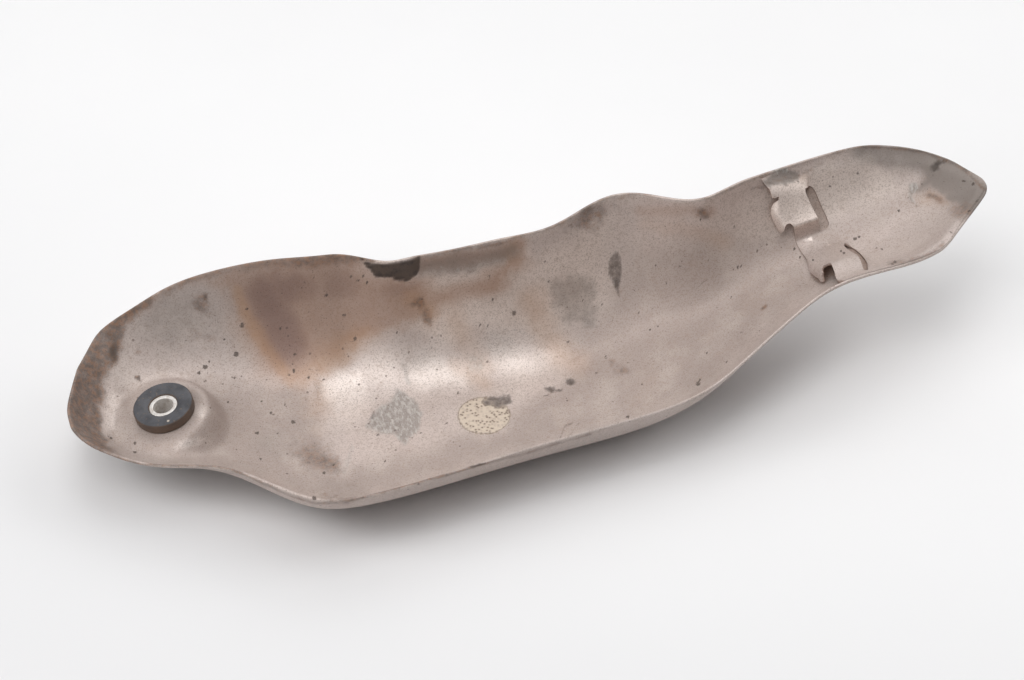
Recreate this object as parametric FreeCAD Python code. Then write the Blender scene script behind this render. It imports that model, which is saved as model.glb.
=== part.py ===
import FreeCAD, Part
import math
import os

# Exhaust heat shield: one pressed stainless sheet, shaped like a long spoon, lying on its convex side.
# A second, thinner sheet lines its tail. It is spot-welded in and has two raised clip loops at its edge.
# The raised boss of the other end holds a rubber grommet with a metal sleeve.
# Frame: millimetres, +Z up, X along the shield (boss end at -X, tail at +X), Y across it (near rim at -Y,
# far rim at +Y). The origin is at the middle of the bottom of the bounding box.

V = FreeCAD.Vector
V2 = FreeCAD.Base.Vector2d

# ---------------------------------------------------------------- driving dimensions (mm)
SHEET = 1.0                 # thickness of the pressed shell
CLIP_SHEET = 0.8            # thickness of the tail plate
CLIP_GAP = 0.12             # air under the flush parts of the tail plate
BOSS_X, BOSS_Y, BOSS_Z = -118.9, -21.7, 13.2    # centre of the boss seat, on the inner face
BOSS_LEAN_X, BOSS_LEAN_Y = 9.0, 1.0             # lean of the seat, degrees towards the left end and the near rim
BOSS_SEAT_R, BOSS_FOOT_R = 12.2, 20.8           # flat seat and foot of the raised boss
BOSS_HOLE_R = 7.0
SLEEVE_R, SLEEVE_BORE_R = 4.6, 3.25
SLEEVE_LOW, SLEEVE_HIGH = -5.3, 2.7             # along the boss axis, from the inner face
RUBBER_R, RUBBER_LOW_R = 9.65, 9.2
RUBBER_NECK_R, RUBBER_BORE_R = 6.85, 4.65
RUBBER_HIGH, RUBBER_LOW = 3.7, -4.4
RUBBER_PLAY = 0.20                              # air between the rubber flanges and the sheet
LEFT_WALL_W, LEFT_WALL_P = 26.0, 3.2            # run and steepness of the two end walls
RIGHT_WALL_W, RIGHT_WALL_P = 34.0, 2.4
CORNERS = ((0.022, 0.16), (0.012, 0.05), (0.022, 0.20), (0.022, 0.14))   # corner roundings of the outline

# Smooth curves of the pressing: (first x, step, control values of a uniform cubic B-spline).
NEAR_RIM_Y = (-160, 10, [-12.36, -22.15, -31.94, -41.88, -50.25, -54.19, -56.37, -61.85, -72.27, -81.36,
    -83.64, -83.14, -81.76, -79.95, -77.98, -76.02, -74.23, -72.66, -71.38, -70.38, -69.32, -67.75, -64.85,
    -59.47, -53.70, -48.43, -43.18, -40.38, -40.14, -40.40, -38.94, -34.88, -30.77, -26.66, -22.54, -18.43])
NEAR_RIM_Z = (-160, 15, [20.96, 20.89, 20.82, 20.82, 21.31, 22.44, 23.61, 24.16, 24.21, 24.11, 23.98, 23.83,
    23.79, 24.07, 25.07, 27.33, 31.06, 35.43, 39.31, 41.87, 43.40, 44.60, 45.79, 46.98, 48.17])
FAR_RIM_Y = (-160, 7.5, [-32.43, -22.33, -12.22, -2.11, 7.22, 9.99, 11.58, 14.21, 15.74, 16.25, 16.59, 16.68,
    16.20, 14.88, 13.74, 14.17, 10.41, 6.82, 7.70, 6.84, 6.45, 6.75, 7.37, 7.08, 6.84, 7.83, 9.90, 11.18,
    9.87, 5.89, 1.47, -0.16, 2.24, 5.12, 6.14, 7.28, 8.38, 9.10, 9.57, 9.26, 6.82, 4.13, -0.96, -8.59, -16.25,
    -23.92, -31.58])
FAR_RIM_Z = (-160, 11, [11.30, 15.61, 19.92, 24.23, 28.57, 32.29, 34.76, 36.07, 36.74, 37.43, 37.59, 36.64,
    35.71, 36.88, 37.88, 38.46, 38.92, 40.43, 44.22, 47.74, 48.33, 48.10, 48.81, 49.80, 50.68, 51.56, 52.73,
    53.77, 53.52, 52.74, 51.91, 51.07, 50.24])
KEEL_Y = (-160, 20, [-19.05, -18.98, -18.96, -19.57, -22.50, -25.29, -26.16, -25.88, -25.46, -25.01, -24.54,
    -23.48, -21.15, -17.40, -14.66, -13.64, -15.75, -17.34, -17.14])
KEEL_Z = (-160, 11, [8.70, 8.60, 8.54, 7.99, 7.55, 6.79, 5.27, 3.35, 1.57, 0.61, 0.27, -0.01, -0.00, 0.00,
    -0.00, 0.00, 0.12, 0.50, 1.75, 3.90, 7.18, 11.19, 15.53, 20.42, 24.86, 28.58, 31.47, 33.90, 35.89, 37.59,
    39.01, 40.03, 40.93])
NEAR_POWER = (-160, 12, [2.176, 2.190, 2.233, 2.329, 2.475, 2.664, 3.306, 4.068, 4.454, 4.389, 4.402, 4.400,
    4.400, 4.400, 4.400, 4.400, 4.395, 4.437, 4.104, 3.491, 2.751, 2.694, 2.603, 2.597, 2.601, 2.599, 2.600,
    2.600, 2.600, 2.600, 2.600])
FAR_POWER = (-160, 15, [2.287, 2.296, 2.314, 2.382, 2.441, 2.626, 2.920, 3.073, 3.112, 3.096, 3.101, 3.100,
    3.098, 3.115, 3.027, 2.836, 2.597, 2.592, 2.604, 2.599, 2.600, 2.600, 2.600, 2.600, 2.600])
# Curves of the two ends, over b = 0 (near rim) to 1 (far rim).
LEFT_END_X = (-0.06, 0.14, [-142.10, -145.39, -147.82, -148.02, -148.36, -147.82, -146.59, -144.94, -142.90,
    -140.64, -138.16])
RIGHT_END_X = (-0.06, 0.14, [130.82, 132.26, 141.92, 149.44, 153.69, 156.22, 157.20, 157.28, 156.58, 155.53,
    155.03])
LEFT_RIM_Z = (-0.06, 0.14, [20.07, 20.62, 21.04, 21.46, 21.72, 21.86, 22.05, 22.35, 22.65, 22.92, 23.08])
RIGHT_RIM_Z = (-0.06, 0.14, [44.94, 42.96, 45.05, 47.40, 48.95, 49.89, 50.48, 50.94, 51.41, 51.78, 51.67])

# Tail plate: it lines the tail up to the rim, and has two raised loops along its left edge.
PLATE_INSET = 0.010                             # how far its edge stays inside the rim, as a share of the width
PLATE_X0, PLATE_X1 = 82.0, 160.0                # span of its sheet before trimming
LOOP1 = ((6.4, 0.0), (4.7, 2.5), (-1.6, 5.4), (-5.0, 0.0))       # (y, rise) of the far loop
LOOP2 = ((-8.5, 0.0), (-12.0, 0.4), (-24.0, 3.8), (-28.0, 4.3), (-36.5, 0.0))    # (y, rise) of the near loop
SLOT1 = ((100.9, 4.95), (104.1, 5.05), (105.9, 3.9), (107.4, 1.2), (108.9, -2.4), (108.8, -4.2), (107.8, -5.0),
    (105.5, -5.05), (104.9, -2.7), (104.1, -0.4), (102.1, 3.1))
SLOT2 = ((110.7, -15.6), (111.2, -13.9), (111.9, -13.6), (113.1, -15.8), (114.3, -19.0), (114.6, -24.4),
    (113.7, -28.9), (112.3, -33.0), (110.6, -36.4), (109.6, -36.4), (110.7, -32.5), (111.5, -29.4), (111.3, -26.1),
    (111.2, -20.6))
PLATE_LEFT = ((86.8, 5.2), (87.6, 4.95), (88.6, 4.7), (89.2, 3.95), (90.0, 3.8), (91.4, 4.0), (91.0, 3.45),
    (89.9, 3.05), (88.9, 2.1), (88.9, 1.2), (90.2, -0.4), (91.5, -2.1), (92.4, -2.1), (92.6, -1.0), (93.3, -0.45),
    (94.5, -0.45), (95.5, -1.2), (96.2, -2.3), (96.7, -3.8), (97.1, -6.6), (97.8, -9.4), (98.4, -13.0),
    (98.4, -14.7), (97.8, -17.6), (97.2, -20.5), (97.6, -23.9), (98.0, -26.9), (98.7, -29.0), (99.4, -28.8),
    (100.2, -27.6), (100.9, -26.3), (101.8, -25.75), (102.8, -25.7), (103.2, -26.4), (103.0, -28.9), (102.3, -31.5),
    (101.4, -33.8), (100.7, -35.6), (100.6, -37.5))


# ---------------------------------------------------------------- smooth curves
def curve(table, x):
    x0, step, c = table
    t = (x - x0) / step
    i = min(max(int(math.floor(t)), 0), len(c) - 4)
    f = t - i
    return ((1 - f) ** 3 * c[i] + (3 * f ** 3 - 6 * f * f + 4) * c[i + 1]
            + (-3 * f ** 3 + 3 * f * f + 3 * f + 1) * c[i + 2] + f ** 3 * c[i + 3]) / 6.0


def smooth(t):
    t = min(max(t, 0.0), 1.0)
    return t * t * t * (t * (6 * t - 15) + 10)


def lean_axis():
    n = V(-math.sin(math.radians(BOSS_LEAN_X)), -math.sin(math.radians(BOSS_LEAN_Y)), 1.0)
    return n.normalize()


AXIS = lean_axis()


def trough(x, y):
    yk, zk = curve(KEEL_Y, x), curve(KEEL_Z, x)
    if y < yk:
        t = (yk - y) / (yk - curve(NEAR_RIM_Y, x))
        return zk + max(curve(NEAR_RIM_Z, x) - zk, 0.0) * t ** curve(NEAR_POWER, x)
    t = (y - yk) / (curve(FAR_RIM_Y, x) - yk)
    return zk + max(curve(FAR_RIM_Z, x) - zk, 0.0) * t ** curve(FAR_POWER, x)


def across(x, b):
    yn = curve(NEAR_RIM_Y, x)
    return yn + (curve(FAR_RIM_Y, x) - yn) * b


def height(x, y):
    """Height of the inner face of the pressing."""
    yn = curve(NEAR_RIM_Y, x)
    b = min(max((y - yn) / (curve(FAR_RIM_Y, x) - yn), -0.06), 1.06)
    z = trough(x, y)
    xl, xr = curve(LEFT_END_X, b), curve(RIGHT_END_X, b)
    if x - xl < LEFT_WALL_W:
        z += (curve(LEFT_RIM_Z, b) - trough(xl, across(xl, b))) * (1 - (x - xl) / LEFT_WALL_W) ** LEFT_WALL_P
    if xr - x < RIGHT_WALL_W:
        z += (curve(RIGHT_RIM_Z, b) - trough(xr, across(xr, b))) * (1 - (xr - x) / RIGHT_WALL_W) ** RIGHT_WALL_P
    r = math.hypot(x - BOSS_X, y - BOSS_Y)
    if r < BOSS_FOOT_R:
        w = smooth((BOSS_FOOT_R - r) / (BOSS_FOOT_R - BOSS_SEAT_R))
        seat = BOSS_Z - (AXIS.x * (x - BOSS_X) + AXIS.y * (y - BOSS_Y)) / AXIS.z
        z = z * (1 - w) + seat * w
    return z


def shell_point(a, b):
    xl, xr = curve(LEFT_END_X, b), curve(RIGHT_END_X, b)
    x = xl + (xr - xl) * a
    y = across(x, b)
    return V(x, y, height(x, y))


def normal_of(fn, a, b, ea, eb):
    n = (fn(a + ea, b) - fn(a - ea, b)).cross(fn(a, b + eb) - fn(a, b - eb))
    return n.normalize()


# ---------------------------------------------------------------- interpolating surfaces
def basis_rows(n):
    """Nonzero cubic B-spline values at the interior data points of a clamped uniform knot line."""
    t = [0.0] * 3 + [float(k) for k in range(n)] + [float(n - 1)] * 3
    rows = []
    for k in range(1, n - 1):
        u, s = float(k), k + 3
        N = [1.0]
        for d in range(1, 4):
            M = [0.0] * (d + 1)
            for j in range(d):
                left, right = t[s - d + 1 + j], t[s + 1 + j]
                w = N[j] / (right - left)
                M[j] += w * (right - u)
                M[j + 1] += w * (u - left)
            N = M
        rows.append(N[:3])
    return rows


def poles_line(data, rows):
    """Control values that pass a cubic through the data, with straight ends."""
    n = len(data)
    lo, di, up, rhs = [0.0], [-3.0], [1.0], [data[0] * -2.0]
    for k, (p, q, r) in enumerate(rows):
        lo.append(p); di.append(q); up.append(r); rhs.append(data[k + 1])
    lo.append(1.0); di.append(-3.0); up.append(0.0); rhs.append(data[-1] * -2.0)
    for k in range(1, n):
        m = lo[k] / di[k - 1]
        di[k] -= m * up[k - 1]
        rhs[k] = rhs[k] - rhs[k - 1] * m
    out = [None] * n
    out[-1] = rhs[-1] * (1.0 / di[-1])
    for k in range(n - 2, -1, -1):
        out[k] = (rhs[k] - out[k + 1] * up[k]) * (1.0 / di[k])
    return [data[0]] + out + [data[-1]]


def surface_through(grid):
    na, nb = len(grid), len(grid[0])
    ra, rb = basis_rows(na), basis_rows(nb)
    half = [poles_line(row, rb) for row in grid]
    cols = [poles_line([half[i][j] for i in range(na)], ra) for j in range(nb + 2)]
    poles = [[cols[j][i] for j in range(nb + 2)] for i in range(na + 2)]
    s = Part.BSplineSurface()
    s.buildFromPolesMultsKnots(poles, [4] + [1] * (na - 2) + [4], [4] + [1] * (nb - 2) + [4],
                               [float(k) for k in range(na)], [float(k) for k in range(nb)],
                               False, False, 3, 3)
    return s


def edges_on(surface, loop):
    out = []
    for pts in loop:
        if len(pts) == 2:
            c = Part.Geom2d.Line2dSegment(V2(*pts[0]), V2(*pts[1]))
        else:
            c = Part.Geom2d.BSplineCurve2d()
            c.interpolate([V2(*p) for p in pts])
        out.append(c.toShape(surface))
    return out


def sheet_solid(face_a, face_b, loop):
    """Solid between two surfaces that share their parameters, trimmed by one closed loop."""
    ea, eb = edges_on(face_a, loop), edges_on(face_b, loop)
    faces = [Part.Face(face_a, Part.Wire(ea)), Part.Face(face_b, Part.Wire(eb))]
    for p, q in zip(ea, eb):
        faces.append(Part.makeRuledSurface(p, q))
    shell = Part.makeShell(faces)
    shell.sewShape()
    solid = Part.Solid(shell)
    if solid.Volume < 0:
        solid.reverse()
    return solid


# ---------------------------------------------------------------- pressed shell
def make_shell():
    na, nb = 141, 45
    a0, a1, b0, b1 = -0.02, 1.02, -0.035, 1.035
    inner, outer = [], []
    for i in range(na):
        a = a0 + (a1 - a0) * i / (na - 1)
        rin, rout = [], []
        for j in range(nb):
            b = b0 + (b1 - b0) * j / (nb - 1)
            p = shell_point(a, b)
            rin.append(p)
            rout.append(p - normal_of(shell_point, a, b, 2e-4, 6e-4) * SHEET)
        inner.append(rin)
        outer.append(rout)

    def uv(a, b):
        return ((a - a0) / (a1 - a0) * (na - 1), (b - b0) / (b1 - b0) * (nb - 1))

    def side(p, q, m):
        return [uv(p[0] + (q[0] - p[0]) * k / m, p[1] + (q[1] - p[1]) * k / m) for k in range(m + 1)]

    def corner(ca, cb, ra, rb, t0):
        pts = []
        for k in range(13):
            t = math.radians(t0 + 90.0 * k / 12)
            pts.append(uv(ca + ra * math.cos(t), cb + rb * math.sin(t)))
        return pts
    (ra0, rb0), (ra1, rb1), (ra2, rb2), (ra3, rb3) = CORNERS
    loop = [side((ra0, 0), (1 - ra1, 0), 1), corner(1 - ra1, rb1, ra1, rb1, -90),
            side((1, rb1), (1, 1 - rb2), 1), corner(1 - ra2, 1 - rb2, ra2, rb2, 0),
            side((1 - ra2, 1), (ra3, 1), 1), corner(ra3, 1 - rb3, ra3, rb3, 90),
            side((0, 1 - rb3), (0, rb0), 1), corner(ra0, rb0, ra0, rb0, 180)]
    solid = sheet_solid(surface_through(inner), surface_through(outer), loop)
    seat = V(BOSS_X, BOSS_Y, BOSS_Z)
    hole = Part.makeCylinder(BOSS_HOLE_R, 16, seat - AXIS * 8, AXIS)
    return solid.cut(hole)


# ---------------------------------------------------------------- tail plate
def bent(table, y, r=0.9):
    """Rise of a bent strip: straight between the bends, with rounded bends."""
    total = 0.0
    for k in range(-4, 5):
        q = y + r * k / 4.0
        v = 0.0
        for (y0, v0), (y1, v1) in zip(table, table[1:]):
            if y1 <= q <= y0:
                v = v0 + (v1 - v0) * (y0 - q) / (y0 - y1)
        total += v
    return total / 9.0


def line_at(points, y):
    """x of a polyline at y; its points go down in y."""
    if y >= points[0][1]:
        return points[0][0]
    for (x0, y0), (x1, y1) in zip(points, points[1:]):
        if y >= y1:
            return x0 + (x1 - x0) * (y0 - y) / (y0 - y1)
    return points[-1][0]


def ramp(t):
    t = min(max(t, 0.0), 1.0)
    return t * t * (3 - 2 * t)


# The sides of the loops turn down from a fold line to a foot line; their other sides end at a slot.
FOLD1 = ((91.4, 3.9), (91.9, 2.9), (92.4, 1.4), (93.4, 0.0), (94.4, -1.0), (95.0, -2.0), (95.6, -6.0))
FOOT1 = ((89.9, 3.9), (89.7, 3.1), (88.7, 2.0), (88.8, 1.2), (91.3, -2.1), (92.6, -4.0), (93.6, -6.0))
FOLD2 = ((98.9, -13.0), (99.1, -15.6), (99.6, -17.8), (100.5, -21.8), (100.7, -26.0), (100.4, -36.0))
FOOT2 = ((97.6, -13.0), (97.6, -17.6), (97.0, -20.5), (97.5, -23.9), (98.0, -27.2), (98.6, -29.0), (98.5, -36.0))
SIDE1 = ((101.5, 5.2), (102.3, 3.1), (104.3, -0.4), (105.1, -2.7), (105.5, -5.0))
SIDE2 = ((110.9, -13.4), (110.9, -16.0), (111.4, -20.6), (111.5, -26.1), (111.7, -29.4), (110.9, -32.5),
    (109.8, -36.6))


def turned_down(x, y, foot, fold):
    x0, x1 = line_at(foot, y), line_at(fold, y)
    return 0.12 + 0.88 * ramp((x - x0) / (x1 - x0))


def loop_rise(x, y):
    """Height of the underside of the tail plate above the inner face of the shell."""
    h = CLIP_GAP
    if -7.0 < y < 8.0 and x < 112:
        h += bent(LOOP1, y) * turned_down(x, y, FOOT1, FOLD1) * (1 - ramp((x - line_at(SIDE1, y)) / 3.2))
    if -38.5 < y < -6.5 and x < 118:
        f = turned_down(x, y, FOOT2, FOLD2)
        if y > -14.0:
            f += (1 - f) * ramp((y + 14.0) / 4.0)
        h += bent(LOOP2, y, 1.3) * f * (1 - ramp((x - line_at(SIDE2, y)) / 2.4))
    return h


def plate_points(x, b):
    """Points of the under and upper face of the tail plate, both measured along the shell's normal."""
    y = across(x, b)
    e = 0.05
    zx = (height(x + e, y) - height(x - e, y)) / (2 * e)
    zy = (height(x, y + e) - height(x, y - e)) / (2 * e)
    n = V(-zx, -zy, 1).normalize()
    h = loop_rise(x, y)
    e = 0.2
    gx = (loop_rise(x + e, y) - loop_rise(x - e, y)) / (2 * e)
    gy = (loop_rise(x, y + e) - loop_rise(x, y - e)) / (2 * e)
    steep = math.sqrt(1 + gx * gx / (1 + zx * zx) + gy * gy / (1 + zy * zy))
    p = V(x, y, height(x, y))
    return p + n * h, p + n * (h + CLIP_SHEET * min(steep, 2.0))


def prism(points, axis, low, high):
    base = [V(*p) + axis * low for p in points]
    face = Part.Face(Part.makePolygon(base + [base[0]]))
    return face.extrude(axis * (high - low))


def make_plate():
    na, nb = 131, 91
    b0, b1 = -0.02, 1.02
    under, top = [], []
    for i in range(na):
        x = PLATE_X0 + (PLATE_X1 - PLATE_X0) * i / (na - 1)
        ru, rt = [], []
        for j in range(nb):
            b = b0 + (b1 - b0) * j / (nb - 1)
            p, q = plate_points(x, b)
            ru.append(p)
            rt.append(q)
        under.append(ru)
        top.append(rt)

    def uv(x, b):
        return ((x - PLATE_X0) / (PLATE_X1 - PLATE_X0) * (na - 1), (b - b0) / (b1 - b0) * (nb - 1))

    def rim(a, b):
        k = PLATE_INSET
        b = k + (1 - 2 * k) * b
        xl, xr = curve(LEFT_END_X, b), curve(RIGHT_END_X, b) - 0.6
        return uv(xl + (xr - xl) * a, b)
    left = []
    for x, y in PLATE_LEFT:
        yn = curve(NEAR_RIM_Y, x)
        left.append(uv(x, (y - yn) / (curve(FAR_RIM_Y, x) - yn)))
    far, near = uv(86.2, 1 - PLATE_INSET), uv(100.6, PLATE_INSET)
    left = [far] + left + [near]
    (ra1, rb1), (ra2, rb2) = CORNERS[1], CORNERS[2]

    def corner(ca, cb, ra, rb, t0):
        pts = []
        for k in range(13):
            t = math.radians(t0 + 90.0 * k / 12)
            pts.append(rim(ca + ra * math.cos(t), cb + rb * math.sin(t)))
        return pts
    c1, c2 = corner(1 - ra1, rb1, ra1, rb1, -90), corner(1 - ra2, 1 - rb2, ra2, rb2, 0)
    end = [rim(1.0, rb1 + (1 - rb2 - rb1) * k / 24.0) for k in range(25)]
    loop = [[near, c1[0]], c1, end, c2, [c2[-1], far]]
    loop += [[left[k], left[k + 1]] for k in range(len(left) - 1)]
    solid = sheet_solid(surface_through(under), surface_through(top), loop)
    for slot, (cx, cy) in ((SLOT1, (105.0, 0.0)), (SLOT2, (113.0, -22.0))):
        e = 0.5
        n = V(-(height(cx + e, cy) - height(cx - e, cy)) / (2 * e),
              -(height(cx, cy + e) - height(cx, cy - e)) / (2 * e), 1).normalize()
        base = V(cx, cy, height(cx, cy))
        flat = []
        for x, y in slot:
            p = V(x, y, height(x, y))
            d = p - base
            flat.append(base + d - n * d.dot(n))
        solid = solid.cut(prism(flat, n, -10, 14))
    return solid


# ---------------------------------------------------------------- grommet and sleeve
def turned(profile):
    """Solid of revolution about the boss axis, from (radius, height) points with optional fillets."""
    seat = V(BOSS_X, BOSS_Y, BOSS_Z)
    side = V(0, 1, 0).cross(AXIS).normalize()
    pts = [seat + side * r + AXIS * h for r, h in profile]
    face = Part.Face(Part.makePolygon(pts + [pts[0]]))
    return face.revolve(seat, AXIS, 360)


def rounded(profile, radius, corners, steps=6):
    out = []
    n = len(profile)
    for k, p in enumerate(profile):
        if k not in corners:
            out.append(p)
            continue
        q, s = profile[k - 1], profile[(k + 1) % n]
        dq = math.hypot(q[0] - p[0], q[1] - p[1])
        ds = math.hypot(s[0] - p[0], s[1] - p[1])
        uq = ((q[0] - p[0]) / dq, (q[1] - p[1]) / dq)
        us = ((s[0] - p[0]) / ds, (s[1] - p[1]) / ds)
        for m in range(steps + 1):
            t = m / steps
            w0, w1, w2 = (1 - t) ** 2, 2 * t * (1 - t), t * t
            out.append((p[0] + radius * (w0 * uq[0] + w2 * us[0]), p[1] + radius * (w0 * uq[1] + w2 * us[1])))
    return out


def make_grommet():
    low = -SHEET - RUBBER_PLAY
    prof = [(RUBBER_BORE_R, RUBBER_LOW), (RUBBER_LOW_R, RUBBER_LOW), (RUBBER_LOW_R, low),
            (RUBBER_NECK_R, low), (RUBBER_NECK_R, RUBBER_PLAY), (RUBBER_R, RUBBER_PLAY),
            (RUBBER_R, RUBBER_HIGH), (RUBBER_BORE_R, RUBBER_HIGH)]
    return turned(rounded(prof, 0.9, (1, 6)))


def make_sleeve():
    c = 0.35
    prof = [(SLEEVE_BORE_R, SLEEVE_LOW), (SLEEVE_R - c, SLEEVE_LOW), (SLEEVE_R, SLEEVE_LOW + c),
            (SLEEVE_R, SLEEVE_HIGH - c), (SLEEVE_R - c, SLEEVE_HIGH), (SLEEVE_BORE_R, SLEEVE_HIGH)]
    return turned(prof)


# ---------------------------------------------------------------- build, move to the frame, write
parts = {"shield_shell": make_shell(), "tail_plate": make_plate(),
         "rubber_grommet": make_grommet(), "spacer_sleeve": make_sleeve()}
box = None
for shape in parts.values():
    bb = shape.optimalBoundingBox(True, False) if hasattr(shape, "optimalBoundingBox") else shape.BoundBox
    box = bb if box is None else box.united(bb)
shift = V(-(box.XMin + box.XMax) / 2.0, -(box.YMin + box.YMax) / 2.0, -box.ZMin)
os.makedirs("parts", exist_ok=True)
for name, shape in parts.items():
    shape.translate(shift)
    shape.exportStep("parts/" + name + ".step")
    print(name, "valid", shape.isValid(), "solids", len(shape.Solids), "volume", round(shape.Volume, 1))
print("shift", [round(c, 4) for c in (shift.x, shift.y, shift.z)],
      "box", [round(c, 2) for c in (box.XLength, box.YLength, box.ZLength)])
seat = V(BOSS_X, BOSS_Y, BOSS_Z) + shift
print("seat", [round(c, 4) for c in (seat.x, seat.y, seat.z)], "axis", [round(c, 5) for c in (AXIS.x, AXIS.y, AXIS.z)])
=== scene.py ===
import math
import bpy
import numpy as np
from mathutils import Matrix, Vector
from mathutils.geometry import delaunay_2d_cdt


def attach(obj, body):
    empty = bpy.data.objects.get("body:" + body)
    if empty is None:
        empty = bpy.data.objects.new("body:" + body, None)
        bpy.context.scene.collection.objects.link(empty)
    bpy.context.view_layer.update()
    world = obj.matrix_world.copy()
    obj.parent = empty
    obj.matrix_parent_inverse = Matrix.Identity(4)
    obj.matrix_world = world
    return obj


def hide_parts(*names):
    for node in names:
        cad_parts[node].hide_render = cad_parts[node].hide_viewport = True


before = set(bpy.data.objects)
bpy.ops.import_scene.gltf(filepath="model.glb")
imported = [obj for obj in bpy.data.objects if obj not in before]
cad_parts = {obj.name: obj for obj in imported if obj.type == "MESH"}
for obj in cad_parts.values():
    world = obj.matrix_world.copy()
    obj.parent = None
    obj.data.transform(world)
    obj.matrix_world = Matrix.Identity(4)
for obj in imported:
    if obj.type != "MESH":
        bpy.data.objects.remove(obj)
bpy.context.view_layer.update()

scene = bpy.context.scene
scene.view_settings.view_transform = "Standard"
MM = 0.001
SHIFT = np.array([-4.3994, 33.3325, 1.0027])      # from the drawing frame of the tables to the row frame

# ------------------------------------------------------------------ dimensions of the pressing (mm)
SHEET = 1.0
BOSS_X, BOSS_Y, BOSS_Z = -118.9, -21.7, 13.2
BOSS_LEAN_X, BOSS_LEAN_Y = 9.0, 1.0
BOSS_SEAT_R, BOSS_FOOT_R, BOSS_HOLE_R = 12.2, 20.8, 7.0
LEFT_WALL_W, LEFT_WALL_P = 26.0, 3.2
RIGHT_WALL_W, RIGHT_WALL_P = 34.0, 2.4
CORNERS = ((0.022, 0.16), (0.012, 0.05), (0.022, 0.20), (0.022, 0.14))
NEAR_RIM_Y = (-160, 10, [-12.36, -22.15, -31.94, -41.88, -50.25, -54.19, -56.37, -61.85, -72.27, -81.36,
    -83.64, -83.14, -81.76, -79.95, -77.98, -76.02, -74.23, -72.66, -71.38, -70.38, -69.32, -67.75, -64.85,
    -59.47, -53.70, -48.43, -43.18, -40.38, -40.14, -40.40, -38.94, -34.88, -30.77, -26.66, -22.54, -18.43])
NEAR_RIM_Z = (-160, 15, [20.96, 20.89, 20.82, 20.82, 21.31, 22.44, 23.61, 24.16, 24.21, 24.11, 23.98, 23.83,
    23.79, 24.07, 25.07, 27.33, 31.06, 35.43, 39.31, 41.87, 43.40, 44.60, 45.79, 46.98, 48.17])
FAR_RIM_Y = (-160, 7.5, [-32.43, -22.33, -12.22, -2.11, 7.22, 9.99, 11.58, 14.21, 15.74, 16.25, 16.59, 16.68,
    16.20, 14.88, 13.74, 14.17, 10.41, 6.82, 7.70, 6.84, 6.45, 6.75, 7.37, 7.08, 6.84, 7.83, 9.90, 11.18,
    9.87, 5.89, 1.47, -0.16, 2.24, 5.12, 6.14, 7.28, 8.38, 9.10, 9.57, 9.26, 6.82, 4.13, -0.96, -8.59, -16.25,
    -23.92, -31.58])
FAR_RIM_Z = (-160, 11, [11.30, 15.61, 19.92, 24.23, 28.57, 32.29, 34.76, 36.07, 36.74, 37.43, 37.59, 36.64,
    35.71, 36.88, 37.88, 38.46, 38.92, 40.43, 44.22, 47.74, 48.33, 48.10, 48.81, 49.80, 50.68, 51.56, 52.73,
    53.77, 53.52, 52.74, 51.91, 51.07, 50.24])
KEEL_Y = (-160, 20, [-19.05, -18.98, -18.96, -19.57, -22.50, -25.29, -26.16, -25.88, -25.46, -25.01, -24.54,
    -23.48, -21.15, -17.40, -14.66, -13.64, -15.75, -17.34, -17.14])
KEEL_Z = (-160, 11, [8.70, 8.60, 8.54, 7.99, 7.55, 6.79, 5.27, 3.35, 1.57, 0.61, 0.27, -0.01, -0.00, 0.00,
    -0.00, 0.00, 0.12, 0.50, 1.75, 3.90, 7.18, 11.19, 15.53, 20.42, 24.86, 28.58, 31.47, 33.90, 35.89, 37.59,
    39.01, 40.03, 40.93])
NEAR_POWER = (-160, 12, [2.176, 2.190, 2.233, 2.329, 2.475, 2.664, 3.306, 4.068, 4.454, 4.389, 4.402, 4.400,
    4.400, 4.400, 4.400, 4.400, 4.395, 4.437, 4.104, 3.491, 2.751, 2.694, 2.603, 2.597, 2.601, 2.599, 2.600,
    2.600, 2.600, 2.600, 2.600])
FAR_POWER = (-160, 15, [2.287, 2.296, 2.314, 2.382, 2.441, 2.626, 2.920, 3.073, 3.112, 3.096, 3.101, 3.100,
    3.098, 3.115, 3.027, 2.836, 2.597, 2.592, 2.604, 2.599, 2.600, 2.600, 2.600, 2.600, 2.600])
LEFT_END_X = (-0.06, 0.14, [-142.10, -145.39, -147.82, -148.02, -148.36, -147.82, -146.59, -144.94, -142.90,
    -140.64, -138.16])
RIGHT_END_X = (-0.06, 0.14, [130.82, 132.26, 141.92, 149.44, 153.69, 156.22, 157.20, 157.28, 156.58, 155.53,
    155.03])
LEFT_RIM_Z = (-0.06, 0.14, [20.07, 20.62, 21.04, 21.46, 21.72, 21.86, 22.05, 22.35, 22.65, 22.92, 23.08])
RIGHT_RIM_Z = (-0.06, 0.14, [44.94, 42.96, 45.05, 47.40, 48.95, 49.89, 50.48, 50.94, 51.41, 51.78, 51.67])


def curve(table, x):
    x0, step, c = table
    c = np.asarray(c)
    t = (np.asarray(x, float) - x0) / step
    i = np.clip(np.floor(t).astype(int), 0, len(c) - 4)
    f = t - i
    return ((1 - f) ** 3 * c[i] + (3 * f ** 3 - 6 * f * f + 4) * c[i + 1]
            + (-3 * f ** 3 + 3 * f * f + 3 * f + 1) * c[i + 2] + f ** 3 * c[i + 3]) / 6.0


def smooth5(t):
    t = np.clip(t, 0.0, 1.0)
    return t * t * t * (t * (6 * t - 15) + 10)


def step3(t):
    t = np.clip(t, 0.0, 1.0)
    return t * t * (3 - 2 * t)


def unit(v):
    return v / np.linalg.norm(v, axis=-1, keepdims=True)


AXIS = unit(np.array([-math.sin(math.radians(BOSS_LEAN_X)), -math.sin(math.radians(BOSS_LEAN_Y)), 1.0]))
SEAT = np.array([BOSS_X, BOSS_Y, BOSS_Z])


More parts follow.
